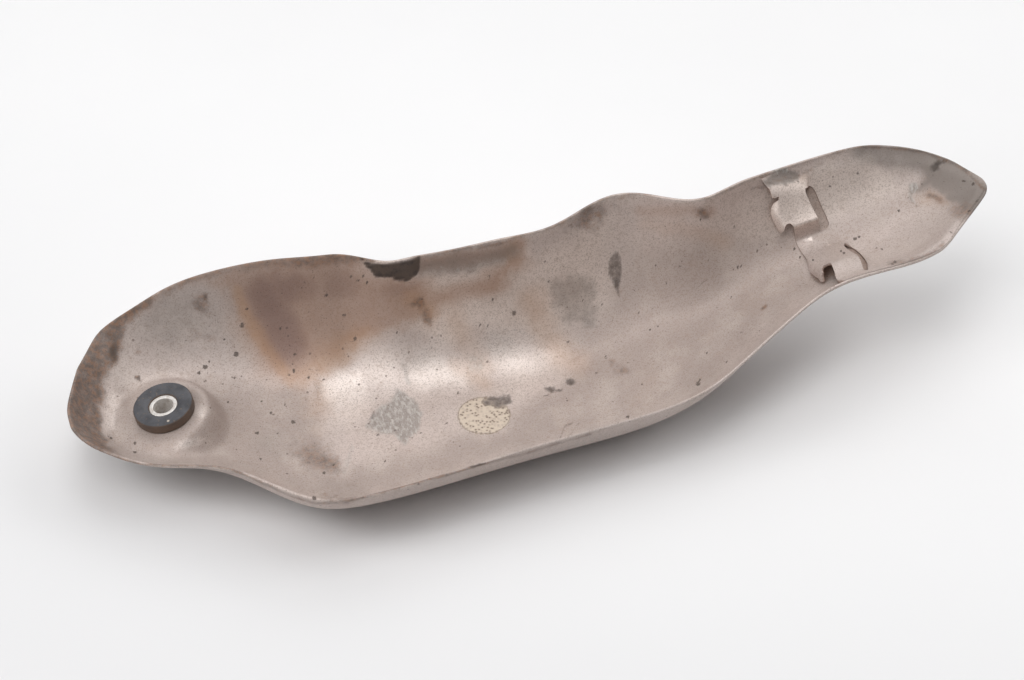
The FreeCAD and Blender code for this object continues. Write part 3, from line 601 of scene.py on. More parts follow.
def paint(ob, verts, faced, grime_and_shade=0.0, outer=0.0):
    """Masks of a sheet; faced is 1 on the vertices of its concave side, grime_and_shade adds brown grime and rust,
    which on the shell under the plate also stands for painted shade, outer is 1 from the rim outwards.
    """
    vx, vy = picture(verts)
    mk = Marks(vx, vy)
    rust = top(
        mk.area([(186, 277), (144, 307), (130, 330), (122, 354), (110, 371), (103, 387), (98, 413), (104, 432), (120, 449),
                 (90, 458), (50, 430), (50, 385), (66, 340), (100, 300), (150, 268)], 8) * 0.74,
        mk.blob(201, 302, 11, 12, 0, 0.5) * 0.62,
        mk.blob(201, 298, 3, 4, 0, 0.6) * 0.9,
        mk.blob(418, 303, 7, 6, 0, 0.9) * 0.80,
        mk.blob(425, 314, 7, 9, 0, 0.9) * 0.66,
        mk.blob(203, 337, 12, 6, 0, 0.8) * 0.36,
        mk.blob(137, 378, 3, 2.5, 0, 0.6) * 0.8,
        mk.blob(137, 354, 6, 5, 0, 0.8) * 0.38,
        mk.blob(95, 375, 7, 6, 0, 0.6) * 0.95,
        mk.blob(84, 402, 6, 5, 0, 0.6) * 0.7,
        mk.blob(100, 345, 8, 6, 0, 0.6) * 0.6,
        mk.blob(92, 392, 5, 10, 0, 0.7) * 0.7,
        mk.blob(318, 459, 26, 14, 20, 0.9) * 0.56,
        mk.blob(318, 395, 9, 22, 0, 0.9) * 0.34,
        mk.blob(345, 498, 30, 4, 0, 0.9) * 0.5,
        mk.blob(590, 217, 24, 12, -20, 0.8) * 0.62,
        mk.blob(704, 210, 9, 8, 0, 0.6) * 0.62,
        mk.blob(962, 208, 13, 11, -35, 0.9) * 0.50,
        mk.path([(930, 196), (940, 200)], 3.6, 0.9) * 0.56,
        mk.path([(761, 309), (767, 305)], 1.8, 0.8) * 0.75,
        mk.path([(140, 298), (180, 277), (230, 264), (290, 259), (350, 258)], 9, 0.9) * 0.60,
        mk.path([(196, 465), (230, 468), (259, 482), (293, 497), (317, 504), (346, 502), (399, 487), (438, 477), (520, 455), (590, 434)], 1.6, 0.9, 0.12) * 0.60 * outer,
        mk.path([(100, 452), (140, 464), (196, 465)], 1.8, 0.9, 0.12) * 0.58 * outer,
        mk.blob(614, 365, 6, 3, 0, 0.9) * 0.46,
        mk.blob(624, 370, 6.5, 5, 0, 0.9) * 0.48,
        mk.path([(752, 188), (790, 178), (806, 172), (822, 163)], 2.0, 0.9) * 0.45,
        mk.path([(890, 264), (905, 262), (936, 251), (944, 243)], 2.4, 0.9) * 0.50,
        mk.path([(120, 300), (160, 275), (230, 260), (330, 254), (372, 260)], 3.2, 0.9, 0.2) * 0.75,
        mk.path([(420, 257), (500, 243), (560, 224), (600, 200), (640, 193)], 2.4, 0.9, 0.2) * 0.52,
        mk.path([(640, 193), (710, 198), (760, 175), (860, 146)], 1.8, 0.9, 0.2) * 0.48,
        mk.path([(860, 146), (925, 152), (965, 170), (986, 190)], 1.8, 0.9, 0.2) * 0.55,
    )
    soot = top(
        mk.area([(358, 256), (370, 262.5), (387, 263.5), (401, 261.5), (421, 256), (420, 264), (416.5, 274), (407, 281),
                 (399, 280.5), (387, 278), (377, 278), (372, 271), (366, 266)], 2.2, 0.35),
        mk.area([(607.3, 260), (612, 254), (617, 250.5), (622, 256), (624, 266), (623, 276), (620.8, 290), (621.5, 303),
                 (614, 287), (609, 273)], 2.4, 0.35) * 0.64,
        mk.blob(112, 350, 7, 17, 14, 0.9) * 0.62,
        mk.blob(106, 333, 10, 8, 0, 0.9) * 0.46,
        mk.blob(590, 212, 13, 5, -24, 0.8) * 0.50,
        mk.blob(571, 228, 4, 2.4, 30, 0.7) * 0.62,
        mk.area([(482, 397), (490, 394), (500, 396), (507, 392), (510, 398), (513, 402), (506, 405), (506, 410), (497, 409),
                 (488, 404)], 2.6, 0.7) * 0.66,
        mk.blob(550, 388, 6.4, 4.0, 5, 0.6, 0.5) * 0.68,
        mk.blob(559, 389, 3.0, 2.2, 0, 0.6, 0.5) * 0.64,
        mk.path([(544, 396), (549, 395.5)], 1.2, 0.7) * 0.7,
        mk.blob(569.5, 382, 6.2, 4.4, 0, 0.6, 0.5) * 0.68,
        mk.path([(919, 186), (926, 178), (931, 172)], 0.9, 0.9, 0.8) * 0.62,
        mk.path([(926, 181), (934, 176), (939, 168)], 0.8, 0.9, 0.8) * 0.60,
        mk.path([(909, 197), (914, 202), (919, 206)], 0.9, 0.9) * 0.55,
        mk.blob(940, 165, 10, 4.5, -12, 0.8) * 0.62,
        mk.path([(694, 291), (702, 283), (709, 277)], 0.9, 0.9) * 0.50,
        mk.path([(561, 438), (567, 426), (574, 421)], 1.2, 0.9) * 0.52,
        mk.path([(570, 436), (576, 428), (581, 420)], 1.0, 0.9) * 0.42,
        mk.path([(592, 274), (600, 271), (607, 273), (600, 278), (593, 277)], 1.0, 0.9) * 0.45,
        mk.path([(568, 273), (579, 274)], 0.9, 0.9) * 0.45,
        mk.path([(505, 330), (520, 333), (533, 336)], 1.4, 0.9) * 0.50,
        mk.blob(373, 418, 4, 3.5, -40, 0.6) * 0.56,
        mk.path([(471, 468), (485, 465)], 1.8, 0.9) * 0.62,
        mk.path([(515, 455), (527, 452)], 1.2, 0.9) * 0.45,
        mk.blob(795, 182, 2.0, 1.8, 0, 0.6) * 0.7,
        mk.blob(902, 150, 2.4, 1.6, 0, 0.6) * 0.7,
    )
    tint = top(
        mk.area([(205, 280), (244, 262), (278, 256), (360, 250), (372, 270), (411, 282), (445, 284), (500, 266), (528, 240), (532, 262),
                 (500, 290), (455, 306), (419, 322), (375, 338), (346, 355), (322, 372), (293, 383), (278, 374), (264, 349), (249, 325),
                 (237, 303), (222, 290)], 14) * 0.68,
        mk.path([(266, 294), (274, 312), (282, 330), (288, 346)], 34, 0.95) * 0.95,
        mk.blob(288, 288, 50, 34, 0, 0.95) * 0.90,
        mk.blob(340, 286, 46, 30, 0, 0.95) * 0.82,
        mk.blob(400, 290, 44, 16, -8, 0.9) * 0.74,
        mk.path([(421, 264), (470, 258), (520, 246)], 8, 0.9) * 0.70,
        mk.path([(640, 210), (675, 212), (712, 211)], 7, 0.9) * 0.46,
        mk.path([(120, 308), (170, 276), (240, 258), (350, 252)], 13, 0.9) * 0.66,
    )
    gold = top(
        mk.path([(236, 292), (246, 314), (258, 334), (270, 352), (282, 370), (291, 381)], 7.0, 0.9) * 0.60,
        mk.path([(352, 348), (326, 366), (300, 380)], 13, 0.9) * 0.46,
        mk.blob(352, 342, 40, 18, -22, 0.9) * 0.46,
        mk.blob(416, 312, 30, 22, -20, 0.9) * 0.44,
        mk.path([(454, 318), (462, 334), (467, 351), (479, 367)], 14, 0.9) * 0.40,
        mk.path([(534, 300), (544, 334), (560, 355), (578, 366)], 15, 0.9) * 0.42,
        mk.path([(455, 362), (470, 372), (485, 383)], 9, 0.9) * 0.38,
        mk.blob(513, 252, 11, 14, 0, 0.9) * 0.56,
        mk.path([(645, 224), (700, 233), (725, 242)], 10, 0.9) * 0.40,
        mk.blob(318, 400, 16, 30, 0, 0.9) * 0.40,
        mk.blob(800, 178, 6, 5, 0, 0.9) * 0.5,
        mk.path([(412, 300), (428, 312)], 12, 0.9) * 0.62,
        mk.blob(935, 198, 16, 8, 15, 0.9) * 0.34,
    )
    grey_and_shade = top(
        mk.area([(546, 284), (562, 278), (588, 278), (597, 290), (593, 306), (599, 325), (588, 328), (570, 324), (554, 306)], 7) * 0.50,
        mk.blob(586, 318, 9, 7, 20, 0.8) * 0.62,
        mk.path([(421, 266), (470, 262), (512, 252)], 10, 0.9) * 0.66,
        mk.blob(178, 320, 48, 34, -30, 0.9) * 0.46,
        mk.blob(270, 445, 26, 16, 20, 0.9) * 0.36,
        mk.blob(340, 488, 26, 10, 0, 0.9) * 0.32,
        # painted shade with some grey staining: the darker band and tip on the tail's far wall
        mk.area([(870, 147), (905, 165), (925, 175), (918, 188), (935, 186), (950, 197), (978, 216), (1002, 190), (960, 162), (925, 148)], 10) * 0.96,
        mk.path([(862, 150), (900, 156), (935, 168)], 12, 0.9) * 0.80,
        mk.area([(761, 180), (768, 187.5), (785, 184), (797, 180), (798, 171.5), (785, 169)], 1.8, 0.4) * 1.0,
    )
    scuff = top(
        mk.area([(366.5, 426), (373, 416), (387, 404), (394, 388), (402, 389), (417, 398), (423, 416), (421, 430), (405, 445),
                 (395, 434), (379, 433)], 4.0, 0.6) * 0.85,
        mk.area([(907, 184), (914, 181), (919, 187), (913, 194), (918, 203), (911, 199)], 2.4, 0.5) * 0.8,
        mk.blob(474, 365, 8, 10, -30, 0.9) * 0.44,
        mk.path([(344, 470), (352, 446)], 2.6, 0.9) * 0.45,
        mk.path([(404, 366), (409, 382)], 3.2, 0.9) * 0.5,
        mk.path([(773, 171.5), (787, 170)], 2.0, 0.9) * 0.9,
        mk.path([(442, 267), (443, 267.5)], 2.0, 0.9) * 0.6,
        mk.path([(458, 268), (459, 268.5)], 2.0, 0.9) * 0.6,
    )
    # painted highlights: light zones along the keel, on the left end wall and on the boss, and two painted glints on
    # the welds; the mask also makes the sheet more metallic and less rough
    highlight_and_polish = top(
        mk.area([(478, 340), (491, 328), (509, 331), (528, 348), (546, 371), (536, 391), (516, 392), (497, 378), (481, 361)], 17) * 0.80,
        mk.area([(405, 359), (426, 348), (454, 358), (477, 381), (470, 394), (450, 392), (426, 398), (407, 378)], 15) * 0.85,
        mk.area([(320, 384), (345, 368), (371, 374), (374, 408), (352, 426), (326, 422)], 18) * 0.95,
        mk.area([(316, 372), (400, 348), (480, 330), (540, 322), (575, 350), (566, 372), (520, 394), (440, 402), (380, 412), (335, 430), (310, 410)], 22) * 0.48,
        mk.area([(101, 399), (112, 392), (123, 402), (120, 432), (108, 438), (100, 424)], 8) * 0.58,
        mk.blob(199, 413, 4, 10, 10, 0.9) * 0.6,
        mk.blob(190, 443, 15, 4, -10, 0.9) * 0.8,
        # painted glints on the two welds
        mk.blob(808.4, 241.8, 3.4, 2.0, 0, 0.7) * 1.0,
        mk.blob(825.6, 242.3, 3.0, 1.8, 0, 0.7) * 1.0,
    )
    # painted shade: darkens the trough floor and near wall, the keel ridge that would catch a highlight, the side of
    # the boss and the tail tip's far band; the mask also makes the sheet rougher and less metallic
    painted_shade = top(
        mk.area([(120, 385), (230, 380), (300, 385), (318, 420), (340, 470), (500, 425), (560, 380), (620, 335), (700, 290), (760, 262),
                 (790, 262), (812, 285), (760, 330), (700, 395), (560, 440), (340, 505), (230, 470), (100, 450), (80, 420)], 16) * 0.88,
        mk.area([(640, 250), (720, 235), (770, 235), (790, 262), (740, 330), (680, 390), (600, 410), (570, 400), (590, 330)], 22) * 0.80,
        mk.area([(812, 268), (900, 262), (985, 192), (975, 178), (930, 205), (880, 240), (830, 255)], 10) * 0.44,
        mk.area([(868, 144), (905, 158), (922, 172), (912, 186), (930, 200), (955, 218), (1002, 190), (962, 160), (925, 146)], 9) * 1.0,
        mk.blob(217, 415, 9, 22, 0, 0.9) * 0.55,
        mk.path([(575, 348), (638, 321), (690, 304), (735, 284), (783, 250)], 15, 0.9) * 0.92,
        mk.path([(826, 238), (856, 225), (906, 203), (932, 196)], 13, 0.9) * 0.55,
        mk.area([(240, 436), (262, 432), (284, 446), (280, 466), (252, 462)], 10) * 0.80,
    ) * (1 - 0.8 * highlight_and_polish)
    # painted light: lightens the far wall, less in the middle stretch
    far_wall_light = mk.area([(425, 272), (520, 258), (575, 236), (605, 210), (640, 202), (705, 208), (760, 186), (830, 162), (862, 152), (890, 170), (900, 188),
                    (860, 206), (800, 235), (760, 245), (700, 262), (640, 290), (590, 320), (540, 335), (480, 330), (440, 345), (420, 330)], 15) * 0.74
    far_wall_light *= 1 - 0.75 * step3((vx - 590) / 50.0) * (1 - step3((vx - 725) / 45.0))
    pepper = np.clip(0.30 - 0.16 * step3((vx - 560) / 160.0)
        + 0.50 * mk.blob(300, 330, 80, 70, 0, 0.7)
        + 0.70 * mk.area([(372, 352), (384, 347), (404, 352), (404, 372), (392, 391), (377, 396), (370, 376)], 9)
        + 0.30 * mk.blob(300, 420, 90, 60, 0, 0.8)
        + 0.30 * mk.blob(110, 420, 30, 40, 0, 0.8)
        + 0.20 * mk.blob(362, 276, 9, 8, 0, 0.8)
        - 0.20 * mk.blob(180, 320, 50, 40, 0, 0.8), 0, 1)
    speck = np.zeros(len(verts))
    for cx, cy, r in SPECKS:
        near = (np.abs(vx - cx) < r * 3 + 3) & (np.abs(vy - cy) < r * 3 + 3)
        d = np.hypot(vx[near] - cx, (vy[near] - cy) * 1.05)
        speck[near] = np.maximum(speck[near], step3((r * 1.36 - d) / (r * 1.2)))
    coin = step3((1.0 - np.hypot((vx - 484) / 27.0, (vy - 415.5) / 19.0)) / 0.08)
    for m in (rust, soot, tint, gold, grey_and_shade, scuff, coin, speck, highlight_and_polish, painted_shade, far_wall_light):
        m *= faced
    tint, rust = np.maximum(tint, 0.72 * grime_and_shade), np.maximum(rust, 0.46 * grime_and_shade)
    set_mask(ob, "m1", (rust, soot, tint, gold))
    set_mask(ob, "m2", (grey_and_shade, scuff, np.where(faced > 0, pepper, 0.25), coin))
    set_mask(ob, "m3", (speck, faced, highlight_and_polish))
    set_mask(ob, "m4", (painted_shade, far_wall_light, np.zeros(len(verts))))


faced = np.zeros(len(shell_v))
faced[:n_inner] = 1.0
# the stains run over the rim onto the outer side of the near wall
faced[n_inner:] = np.where(shell_v[n_inner:, 1] < -30, 0.8, 0.0)
faced[n_inner:n_inner + n_rim] = 1.0
# brown grime under the plate, which also stands for painted shade under it
under = inside(list(PLATE_LEFT) + [(100.6, -45.0), (118.0, -45.0), (118.0, 6.0), (86.2, 6.0)], shell_v[:, 0], shell_v[:, 1]).astype(float)
under[n_inner:] = 0.0
paint(shell, shell_v, faced, 0.55 * under, (np.arange(len(shell_v)) >= n_inner).astype(float))
faced = np.zeros(len(plate_v))
faced[:n_top] = 1.0
paint(plate, plate_v, faced, plate_edge)


# ------------------------------------------------------------------ node helpers
class Tree:
    def __init__(self, name):
        self.mat = bpy.data.materials.new(name)
        self.mat.use_nodes = True
        self.t = self.mat.node_tree
        self.t.nodes.clear()
        self.out = self.t.nodes.new("ShaderNodeOutputMaterial")
        self.bsdf = self.t.nodes.new("ShaderNodeBsdfPrincipled")
        self.t.links.new(self.bsdf.outputs[0], self.out.inputs[0])
        self.coord = self.t.nodes.new("ShaderNodeTexCoord").outputs["Object"]

    def put(self, socket, v):
        if hasattr(v, "is_output"):
            self.t.links.new(v, socket)
        elif isinstance(v, (tuple, list)):
            socket.default_value = tuple(v) + ((1.0,) if len(v) == 3 and socket.type == "RGBA" else ())
        else:
            socket.default_value = v

    def noise(self, scale, detail=4.0, rough=0.55, vec=None, lac=2.0, dist=0.0):
        n = self.t.nodes.new("ShaderNodeTexNoise")
        self.put(n.inputs["Vector"], vec if vec is not None else self.coord)
        n.inputs["Scale"].default_value = scale
        n.inputs["Detail"].default_value = detail
        n.inputs["Roughness"].default_value = rough
        n.inputs["Lacunarity"].default_value = lac
        n.inputs["Distortion"].default_value = dist
        return n.outputs["Fac"]

    def voronoi(self, scale, vec=None, feature="F1", rnd=1.0):
        n = self.t.nodes.new("ShaderNodeTexVoronoi")
        n.feature = feature
        self.put(n.inputs["Vector"], vec if vec is not None else self.coord)
        n.inputs["Scale"].default_value = scale
        n.inputs["Randomness"].default_value = rnd
        return n.outputs["Distance"], n.outputs["Color"]

    def stretch(self, sx, sy, sz, turn=(0, 0, 0)):
        n = self.t.nodes.new("ShaderNodeMapping")
        self.put(n.inputs["Vector"], self.coord)
        n.inputs["Scale"].default_value = (sx, sy, sz)
        n.inputs["Rotation"].default_value = turn
        return n.outputs[0]

    def math(self, op, a, b=None, c=None, clamp=False):
        n = self.t.nodes.new("ShaderNodeMath")
        n.operation = op
        n.use_clamp = clamp
        self.put(n.inputs[0], a)
        if b is not None:
            self.put(n.inputs[1], b)
        if c is not None:
            self.put(n.inputs[2], c)
        return n.outputs[0]

    def remap(self, v, a, b, c=0.0, d=1.0, smooth=True):
        n = self.t.nodes.new("ShaderNodeMapRange")
        n.interpolation_type = "SMOOTHSTEP" if smooth else "LINEAR"
        n.clamp = True
        self.put(n.inputs[0], v)
        for k, q in zip((1, 2, 3, 4), (a, b, c, d)):
            self.put(n.inputs[k], q)
        return n.outputs[0]

    def mix(self, f, a, b, mode="MIX"):
        n = self.t.nodes.new("ShaderNodeMix")
        n.data_type = "RGBA"
        n.blend_type = mode
        n.clamp_factor = True
        self.put(n.inputs[0], f)
        self.put(n.inputs[6], a)
        self.put(n.inputs[7], b)
        return n.outputs[2]

    def att(self, name):
        n = self.t.nodes.new("ShaderNodeAttribute")
        n.attribute_name = name
        s = self.t.nodes.new("ShaderNodeSeparateColor")
        self.t.links.new(n.outputs["Color"], s.inputs[0])
        return s.outputs[0], s.outputs[1], s.outputs[2], n.outputs["Alpha"]

    def grit(self, mask, noise, width=0.22, gain=0.7):
        """Breaks the soft edge of a mask up with a texture."""
        v = self.math("MULTIPLY_ADD", self.math("SUBTRACT", noise, 0.5), gain, mask)
        return self.remap(v, 0.5 - width, 0.5 + width)

    def bump(self, h, strength=0.2, dist=0.0002, normal=None):
        n = self.t.nodes.new("ShaderNodeBump")
        n.inputs["Strength"].default_value = strength
        n.inputs["Distance"].default_value = dist
        self.put(n.inputs["Height"], h)
        if normal is not None:
            self.put(n.inputs["Normal"], normal)
        return n.outputs[0]

    def shader(self, **kw):
        for k, v in kw.items():
            self.put(self.bsdf.inputs[k.replace("_", " ")], v)
        return self.mat


def srgb(r, g, b):
    return tuple((c / 12.92 if c <= 0.04045 else ((c + 0.055) / 1.055) ** 2.4) for c in (r / 255, g / 255, b / 255))


def sheet_material(name):
    """Dull stainless sheet with grain, heat tint, rust, soot and dirt specks, plus painted highlights, a painted
    lighter far wall and painted shade.
    """
    k = Tree(name)
    big = k.noise(16, 4)
    mid = k.noise(80, 5, 0.6)
    fine = k.noise(640, 4, 0.65)
    tiny = k.noise(2200, 2, 0.6)
    grain = k.noise(1500, 2, 0.6, k.stretch(0.10, 1.0, 1.0, (0, 0, math.radians(8))))
    blot = k.noise(240, 5, 0.7)
    cloud = k.noise(46, 4, 0.6)
    chip = k.noise(1300, 3, 0.65)
    streak = k.noise(1000, 5, 0.75, k.stretch(1.0, 0.42, 0.8, (0, 0, 0.7)))
    rust_m, soot_m, tint_m, gold_m = k.att("m1")
    grey_and_shade_m, scuff_m, pep_m, coin_m = k.att("m2")
    speck_m, in_m, highlight_and_polish_m, _ = k.att("m3")
    painted_shade_m, far_wall_light_m, _, _ = k.att("m4")
    col = k.mix(k.remap(big, 0.35, 0.65), srgb(205, 190, 183), srgb(197, 184, 178))
    # painted light on the far wall
    lit = k.grit(far_wall_light_m, mid, 0.5, 0.3)
    col = k.mix(k.math("MULTIPLY", lit, 0.85), col, srgb(229, 215, 206))
    # painted shade, which also makes the sheet rougher and less metallic
    w = k.grit(painted_shade_m, mid, 0.5, 0.4)
    col = k.mix(k.math("MULTIPLY", w, 0.68), col, srgb(152, 138, 131))
    col = k.mix(k.remap(cloud, 0.50, 0.72, 0.0, 0.30), col, srgb(168, 152, 143))
    col = k.mix(k.remap(mid, 0.42, 0.72, 0.0, 0.34), col, srgb(212, 200, 192))
    col = k.mix(k.remap(blot, 0.52, 0.78, 0.0, 0.40), col, srgb(172, 152, 140))
    rough = k.math("ADD", k.remap(mid, 0.3, 0.7, 0.49, 0.59), k.math("MULTIPLY", w, 0.10))
    metal = k.math("SUBTRACT", k.remap(blot, 0.4, 0.8, 0.46, 0.36), k.math("MULTIPLY", w, 0.20))
    # painted highlight: the mask lightens the colour, and also raises metal and lowers roughness
    shine = k.grit(highlight_and_polish_m, mid, 0.5, 0.5)
    col = k.mix(k.math("MULTIPLY", shine, 0.66), col, srgb(236, 225, 218))
    metal = k.math("ADD", metal, k.math("MULTIPLY", shine, 0.30))
    rough = k.math("SUBTRACT", rough, k.math("MULTIPLY", shine, 0.10))
    col = k.mix(k.remap(fine, 0.50, 0.68, 0.0, 0.30), col, srgb(158, 138, 125))
    col = k.mix(k.remap(tiny, 0.48, 0.66, 0.0, 0.42), col, srgb(138, 119, 107))

    def pepper(scale, lo, hi, rmin, rmax):
        d1, c1 = k.voronoi(scale)
        sep = k.t.nodes.new("ShaderNodeSeparateColor")
        k.t.links.new(c1, sep.inputs[0])
        chosen = k.math("LESS_THAN", sep.outputs[0], k.remap(pep_m, 0.0, 1.0, lo, hi, False))
        size = k.remap(sep.outputs[1], 0.0, 1.0, rmin, rmax, False)
        d = k.math("ADD", d1, k.math("MULTIPLY", k.math("SUBTRACT", fine, 0.5), 0.5))
        return k.math("MULTIPLY", chosen, k.remap(d, k.math("MULTIPLY", size, 0.6), size, 1.0, 0.0))
    dot = k.math("MAXIMUM", pepper(640, 0.005, 0.10, 0.08, 0.34), k.math("MULTIPLY", pepper(1700, 0.02, 0.46, 0.12, 0.42), 0.74))
    t = k.grit(tint_m, cloud, 0.45, 0.40)
    col = k.mix(k.math("MULTIPLY", t, 0.76), col, k.mix(k.remap(tint_m, 0.58, 1.0), srgb(166, 131, 109), srgb(126, 94, 82)))
    g = k.grit(gold_m, cloud, 0.48, 0.6)
    col = k.mix(k.math("MULTIPLY", g, 0.52), col, srgb(182, 140, 102))
    # grey discolouration, and painted shade on the tail tip's far band
    y = k.grit(grey_and_shade_m, blot, 0.48, 0.6)
    col = k.mix(k.math("MULTIPLY", y, 0.74), col, srgb(126, 118, 112))
    r = k.grit(rust_m, blot, 0.40, 0.8)
    col = k.mix(k.math("MULTIPLY", r, 0.84), col, k.mix(k.remap(fine, 0.42, 0.62), srgb(84, 69, 60), srgb(128, 93, 68)))
    s = k.grit(scuff_m, streak, 0.42, 1.1)
    col = k.mix(k.math("MULTIPLY", s, 0.66), col, k.mix(k.remap(streak, 0.40, 0.66), srgb(128, 123, 118), srgb(198, 195, 190)))
    o = k.grit(soot_m, fine, 0.26, 0.45)
    col = k.mix(k.math("MULTIPLY", o, k.remap(soot_m, 0.5, 1.0, 0.74, 0.94)), col, k.mix(k.remap(blot, 0.4, 0.6), srgb(42, 33, 29), srgb(70, 57, 49)))
    p = k.grit(speck_m, chip, 0.18, 1.3)
    col = k.mix(k.math("MULTIPLY", p, 0.84), col, k.mix(k.remap(tiny, 0.4, 0.6), srgb(60, 50, 45), srgb(96, 84, 76)))
    col = k.mix(k.math("MULTIPLY", dot, 0.62), col, srgb(86, 70, 62))
    dirt = k.math("MAXIMUM", k.math("MAXIMUM", o, k.math("MULTIPLY", r, 0.7)), k.math("MAXIMUM", p, dot))
    metal = k.math("MULTIPLY", metal, k.remap(dirt, 0.0, 1.0, 1.0, 0.15, False))
    rough = k.math("ADD", rough, k.math("MULTIPLY", dirt, 0.25))
    rough = k.math("ADD", rough, k.math("MULTIPLY", s, 0.10))
    coin_m = k.math("MULTIPLY", coin_m, k.math("SUBTRACT", 1.0, o))
    stip, _c = k.voronoi(900)
    rim_c = k.math("MULTIPLY", k.remap(coin_m, 0.04, 0.5), k.remap(coin_m, 0.5, 0.96, 1.0, 0.0))
    col = k.mix(k.math("MULTIPLY", coin_m, 0.55), col, srgb(200, 184, 163))
    coinh = k.math("MULTIPLY", coin_m, k.remap(stip, 0.1, 0.6))
    col = k.mix(k.math("MULTIPLY", coin_m, k.remap(stip, 0.16, 0.40, 0.85, 0.0)), col, srgb(116, 101, 88))
    col = k.mix(k.math("MULTIPLY", rim_c, 0.6), col, srgb(120, 104, 90))
    # painted glints: light flecks on the stipple of the oval
    col = k.mix(k.math("MULTIPLY", coin_m, k.remap(stip, 0.40, 0.7, 0.0, 0.40)), col, srgb(226, 213, 195))
    hgt = k.math("ADD", k.math("MULTIPLY", grain, 0.25), k.math("MULTIPLY", fine, 0.5))
    hgt = k.math("ADD", hgt, k.math("MULTIPLY", dirt, 0.6))
    hgt = k.math("ADD", hgt, k.math("MULTIPLY", coinh, 1.2))
    nrm = k.bump(hgt, 0.20, 0.00016)
    return k.shader(Base_Color=col, Metallic=metal, Roughness=rough, Normal=nrm)


shell.data.materials.append(sheet_material("stained_sheet_with_painted_light"))
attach(shell, "root")
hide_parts("shield_shell")

plate.data.materials.append(shell.data.materials[0])
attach(plate, "root")
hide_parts("tail_plate")


# ------------------------------------------------------------------ rubber grommet and sleeve
side_u = unit(np.cross(np.array([0.0, 1.0, 0.0]), AXIS))
side_v = np.cross(AXIS, side_u)


def lathe(name, profile, seg=160, wobble=0.0, seed=1):
    prof = np.array(profile)
    ang = np.linspace(0, 2 * math.pi, seg, endpoint=False)
    f = Field(seed)
    verts = []
    for k, a in enumerate(ang):
        rr = prof[:, 0] + wobble * (f(np.full(len(prof), 40 + 6 * math.cos(a)), 40 + 6 * math.sin(a) + prof[:, 1], 3.0) - 0.5)
        verts.append(SEAT + rr[:, None] * (math.cos(a) * side_u + math.sin(a) * side_v) + prof[:, 1:2] * AXIS)
    n = len(prof)
    verts = np.concatenate(verts)
    faces = []
    for i in range(seg):
        j = (i + 1) % seg
        for k in range(n):
            m = (k + 1) % n
            faces.append((i * n + k, j * n + k, j * n + m, i * n + m))
    return new_mesh(name, verts, faces)


def round_profile(points, radii, steps=7):
    out = []
    n = len(points)
    for k, p in enumerate(points):
        r = radii[k]
        p = np.array(p)
        if r <= 0:
            out.append(p)
            continue
        q, s = np.array(points[k - 1]), np.array(points[(k + 1) % n])
        uq, us = unit(q - p), unit(s - p)
        for m in range(steps + 1):
            t = m / steps
            out.append(p + r * ((1 - t) ** 2 * uq + t * t * us))
    return out


rub = lathe("grommet_rubber_ring", round_profile(
    [(4.65, -4.4), (9.2, -4.4), (9.2, -1.2), (6.85, -1.2), (6.85, 0.2), (9.65, 0.2), (9.65, 3.7), (6.4, 3.78), (5.3, 3.55), (4.65, 3.1)],
    [0.3, 0.9, 0.3, 0.2, 0.2, 0.35, 0.75, 0.5, 0.3, 0.3]), 180, 0.10, 5)
k = Tree("dusty_rubber")
nb_ = k.noise(160, 5, 0.6)
nf_ = k.noise(900, 4, 0.65)
col = k.mix(k.remap(nb_, 0.35, 0.65), srgb(62, 62, 66), srgb(82, 82, 86))
col = k.mix(k.remap(nf_, 0.55, 0.72, 0.0, 0.7), col, srgb(112, 100, 90))
d1, c1 = k.voronoi(520)
sp = k.t.nodes.new("ShaderNodeSeparateColor")
k.t.links.new(c1, sp.inputs[0])
wht = k.math("MULTIPLY", k.math("LESS_THAN", sp.outputs[0], 0.05), k.remap(d1, 0.12, 0.3, 1.0, 0.0))
col = k.mix(wht, col, srgb(190, 180, 168))
geo = k.t.nodes.new("ShaderNodeNewGeometry")
dotn = k.t.nodes.new("ShaderNodeVectorMath")
dotn.operation = "DOT_PRODUCT"
k.t.links.new(geo.outputs["Normal"], dotn.inputs[0])
dotn.inputs[1].default_value = tuple(AXIS)
side = k.remap(dotn.outputs["Value"], 0.85, 0.45)
col = k.mix(k.math("MULTIPLY", side, k.remap(nb_, 0.3, 0.6, 0.35, 0.8)), col, srgb(104, 84, 68))
rub.data.materials.append(k.shader(Base_Color=col, Roughness=k.remap(nf_, 0.3, 0.7, 0.52, 0.72), Normal=k.bump(nf_, 0.3, 0.00015)))
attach(rub, "root")
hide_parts("rubber_grommet")

slv = lathe("spacer_tube", round_profile(
    [(3.25, -5.3), (4.6, -5.3), (4.6, 2.9), (3.25, 2.9)], [0.25, 0.3, 0.35, 0.3]), 128, 0.03, 9)
k = Tree("worn_sleeve")
nf_ = k.noise(700, 4, 0.6)
ng_ = k.noise(220, 4, 0.6)
col = k.mix(k.remap(nf_, 0.35, 0.7), srgb(236, 232, 228), srgb(206, 198, 190))
col = k.mix(k.remap(ng_, 0.55, 0.72, 0.0, 0.6), col, srgb(120, 92, 70))
slv.data.materials.append(k.shader(Base_Color=col, Metallic=0.45, Roughness=k.remap(nf_, 0.3, 0.7, 0.36, 0.52), Normal=k.bump(nf_, 0.2, 0.0001)))
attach(slv, "root")
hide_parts("spacer_sleeve")

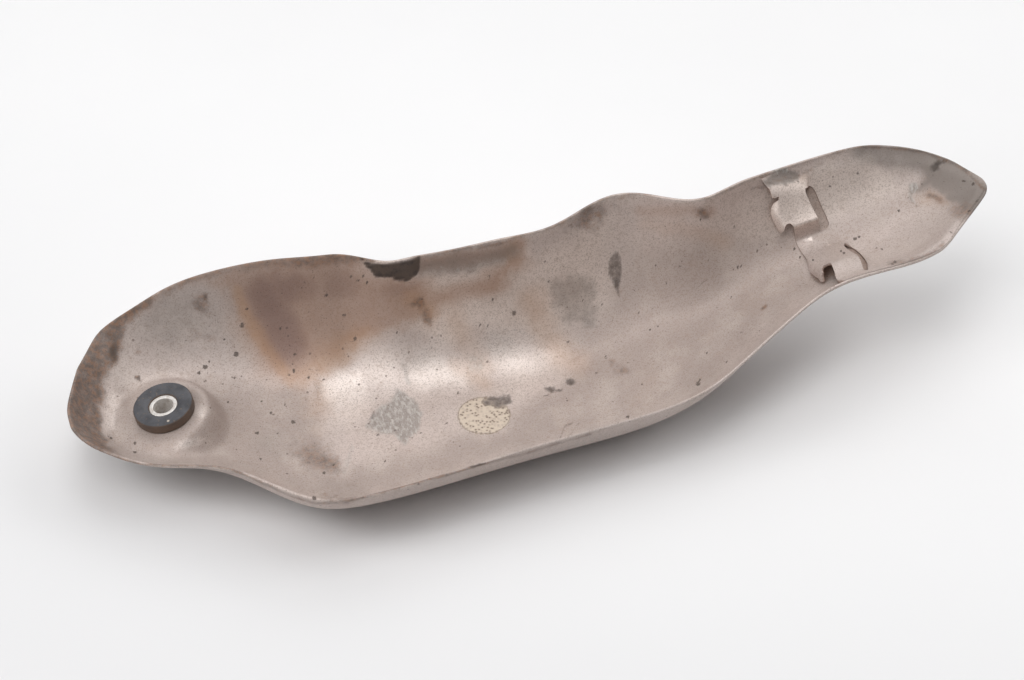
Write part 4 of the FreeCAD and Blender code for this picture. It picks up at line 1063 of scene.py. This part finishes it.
# ------------------------------------------------------------------ floor and light
fme = bpy.data.meshes.new("floor")
fme.from_pydata([(-3, -3, 0), (3, -3, 0), (3, 3, 0), (-3, 3, 0)], [], [(0, 1, 2, 3)])
floor = bpy.data.objects.new("floor", fme)
scene.collection.objects.link(floor)
k = Tree("pale_floor")
nb_ = k.noise(9, 3)
sep = k.t.nodes.new("ShaderNodeSeparateXYZ")
k.t.links.new(k.coord, sep.inputs[0])
# painted shade: the floor is darker towards the front left
light_falloff = k.remap(k.math("ADD", sep.outputs[0], sep.outputs[1]), -0.26, 0.12)
col = k.mix(nb_, (0.86, 0.855, 0.858), (0.90, 0.895, 0.898))
fme.materials.append(k.shader(Base_Color=k.mix(light_falloff, (0.755, 0.75, 0.756), col), Roughness=0.75))

world = bpy.data.worlds.new("studio")
scene.world = world
world.use_nodes = True
bg = world.node_tree.nodes.get("Background") or world.node_tree.nodes.new("ShaderNodeBackground")
wo = world.node_tree.nodes.get("World Output") or world.node_tree.nodes.new("ShaderNodeOutputWorld")
world.node_tree.links.new(bg.outputs[0], wo.inputs[0])
bg.inputs[0].default_value = (0.96, 0.98, 1.0, 1.0)
bg.inputs[1].default_value = 0.09


def softbox(name, pos, target, size, size_y, power, colour=(1, 1, 1)):
    li = bpy.data.lights.new(name, "AREA")
    li.shape = "RECTANGLE"
    li.size, li.size_y = size, size_y
    li.energy = power
    li.color = colour
    ob = bpy.data.objects.new(name, li)
    scene.collection.objects.link(ob)
    ob.location = pos
    ob.rotation_mode = "QUATERNION"
    ob.rotation_quaternion = (Vector(target) - Vector(pos)).to_track_quat("-Z", "Y")
    return ob


for name, el, az, power in (("top", 90, 0, 1.9), ("top_back", 66, 90, 1.5), ("top_right", 66, 0, 0.8), ("top_front", 66, 225, 3.6),
                            ("right", 40, 0, 2.9), ("back_right", 40, 45, 1.9), ("back", 40, 90, 1.6), ("left", 40, 180, 4.4),
                            ("left_front", 40, 225, 2.2)):
    el, az = math.radians(el), math.radians(az)
    softbox(name, (1.2 * math.cos(el) * math.cos(az), 1.2 * math.cos(el) * math.sin(az), 1.2 * math.sin(el)),
            (0.0, 0.0, 0.0), 0.55, 0.55, power)
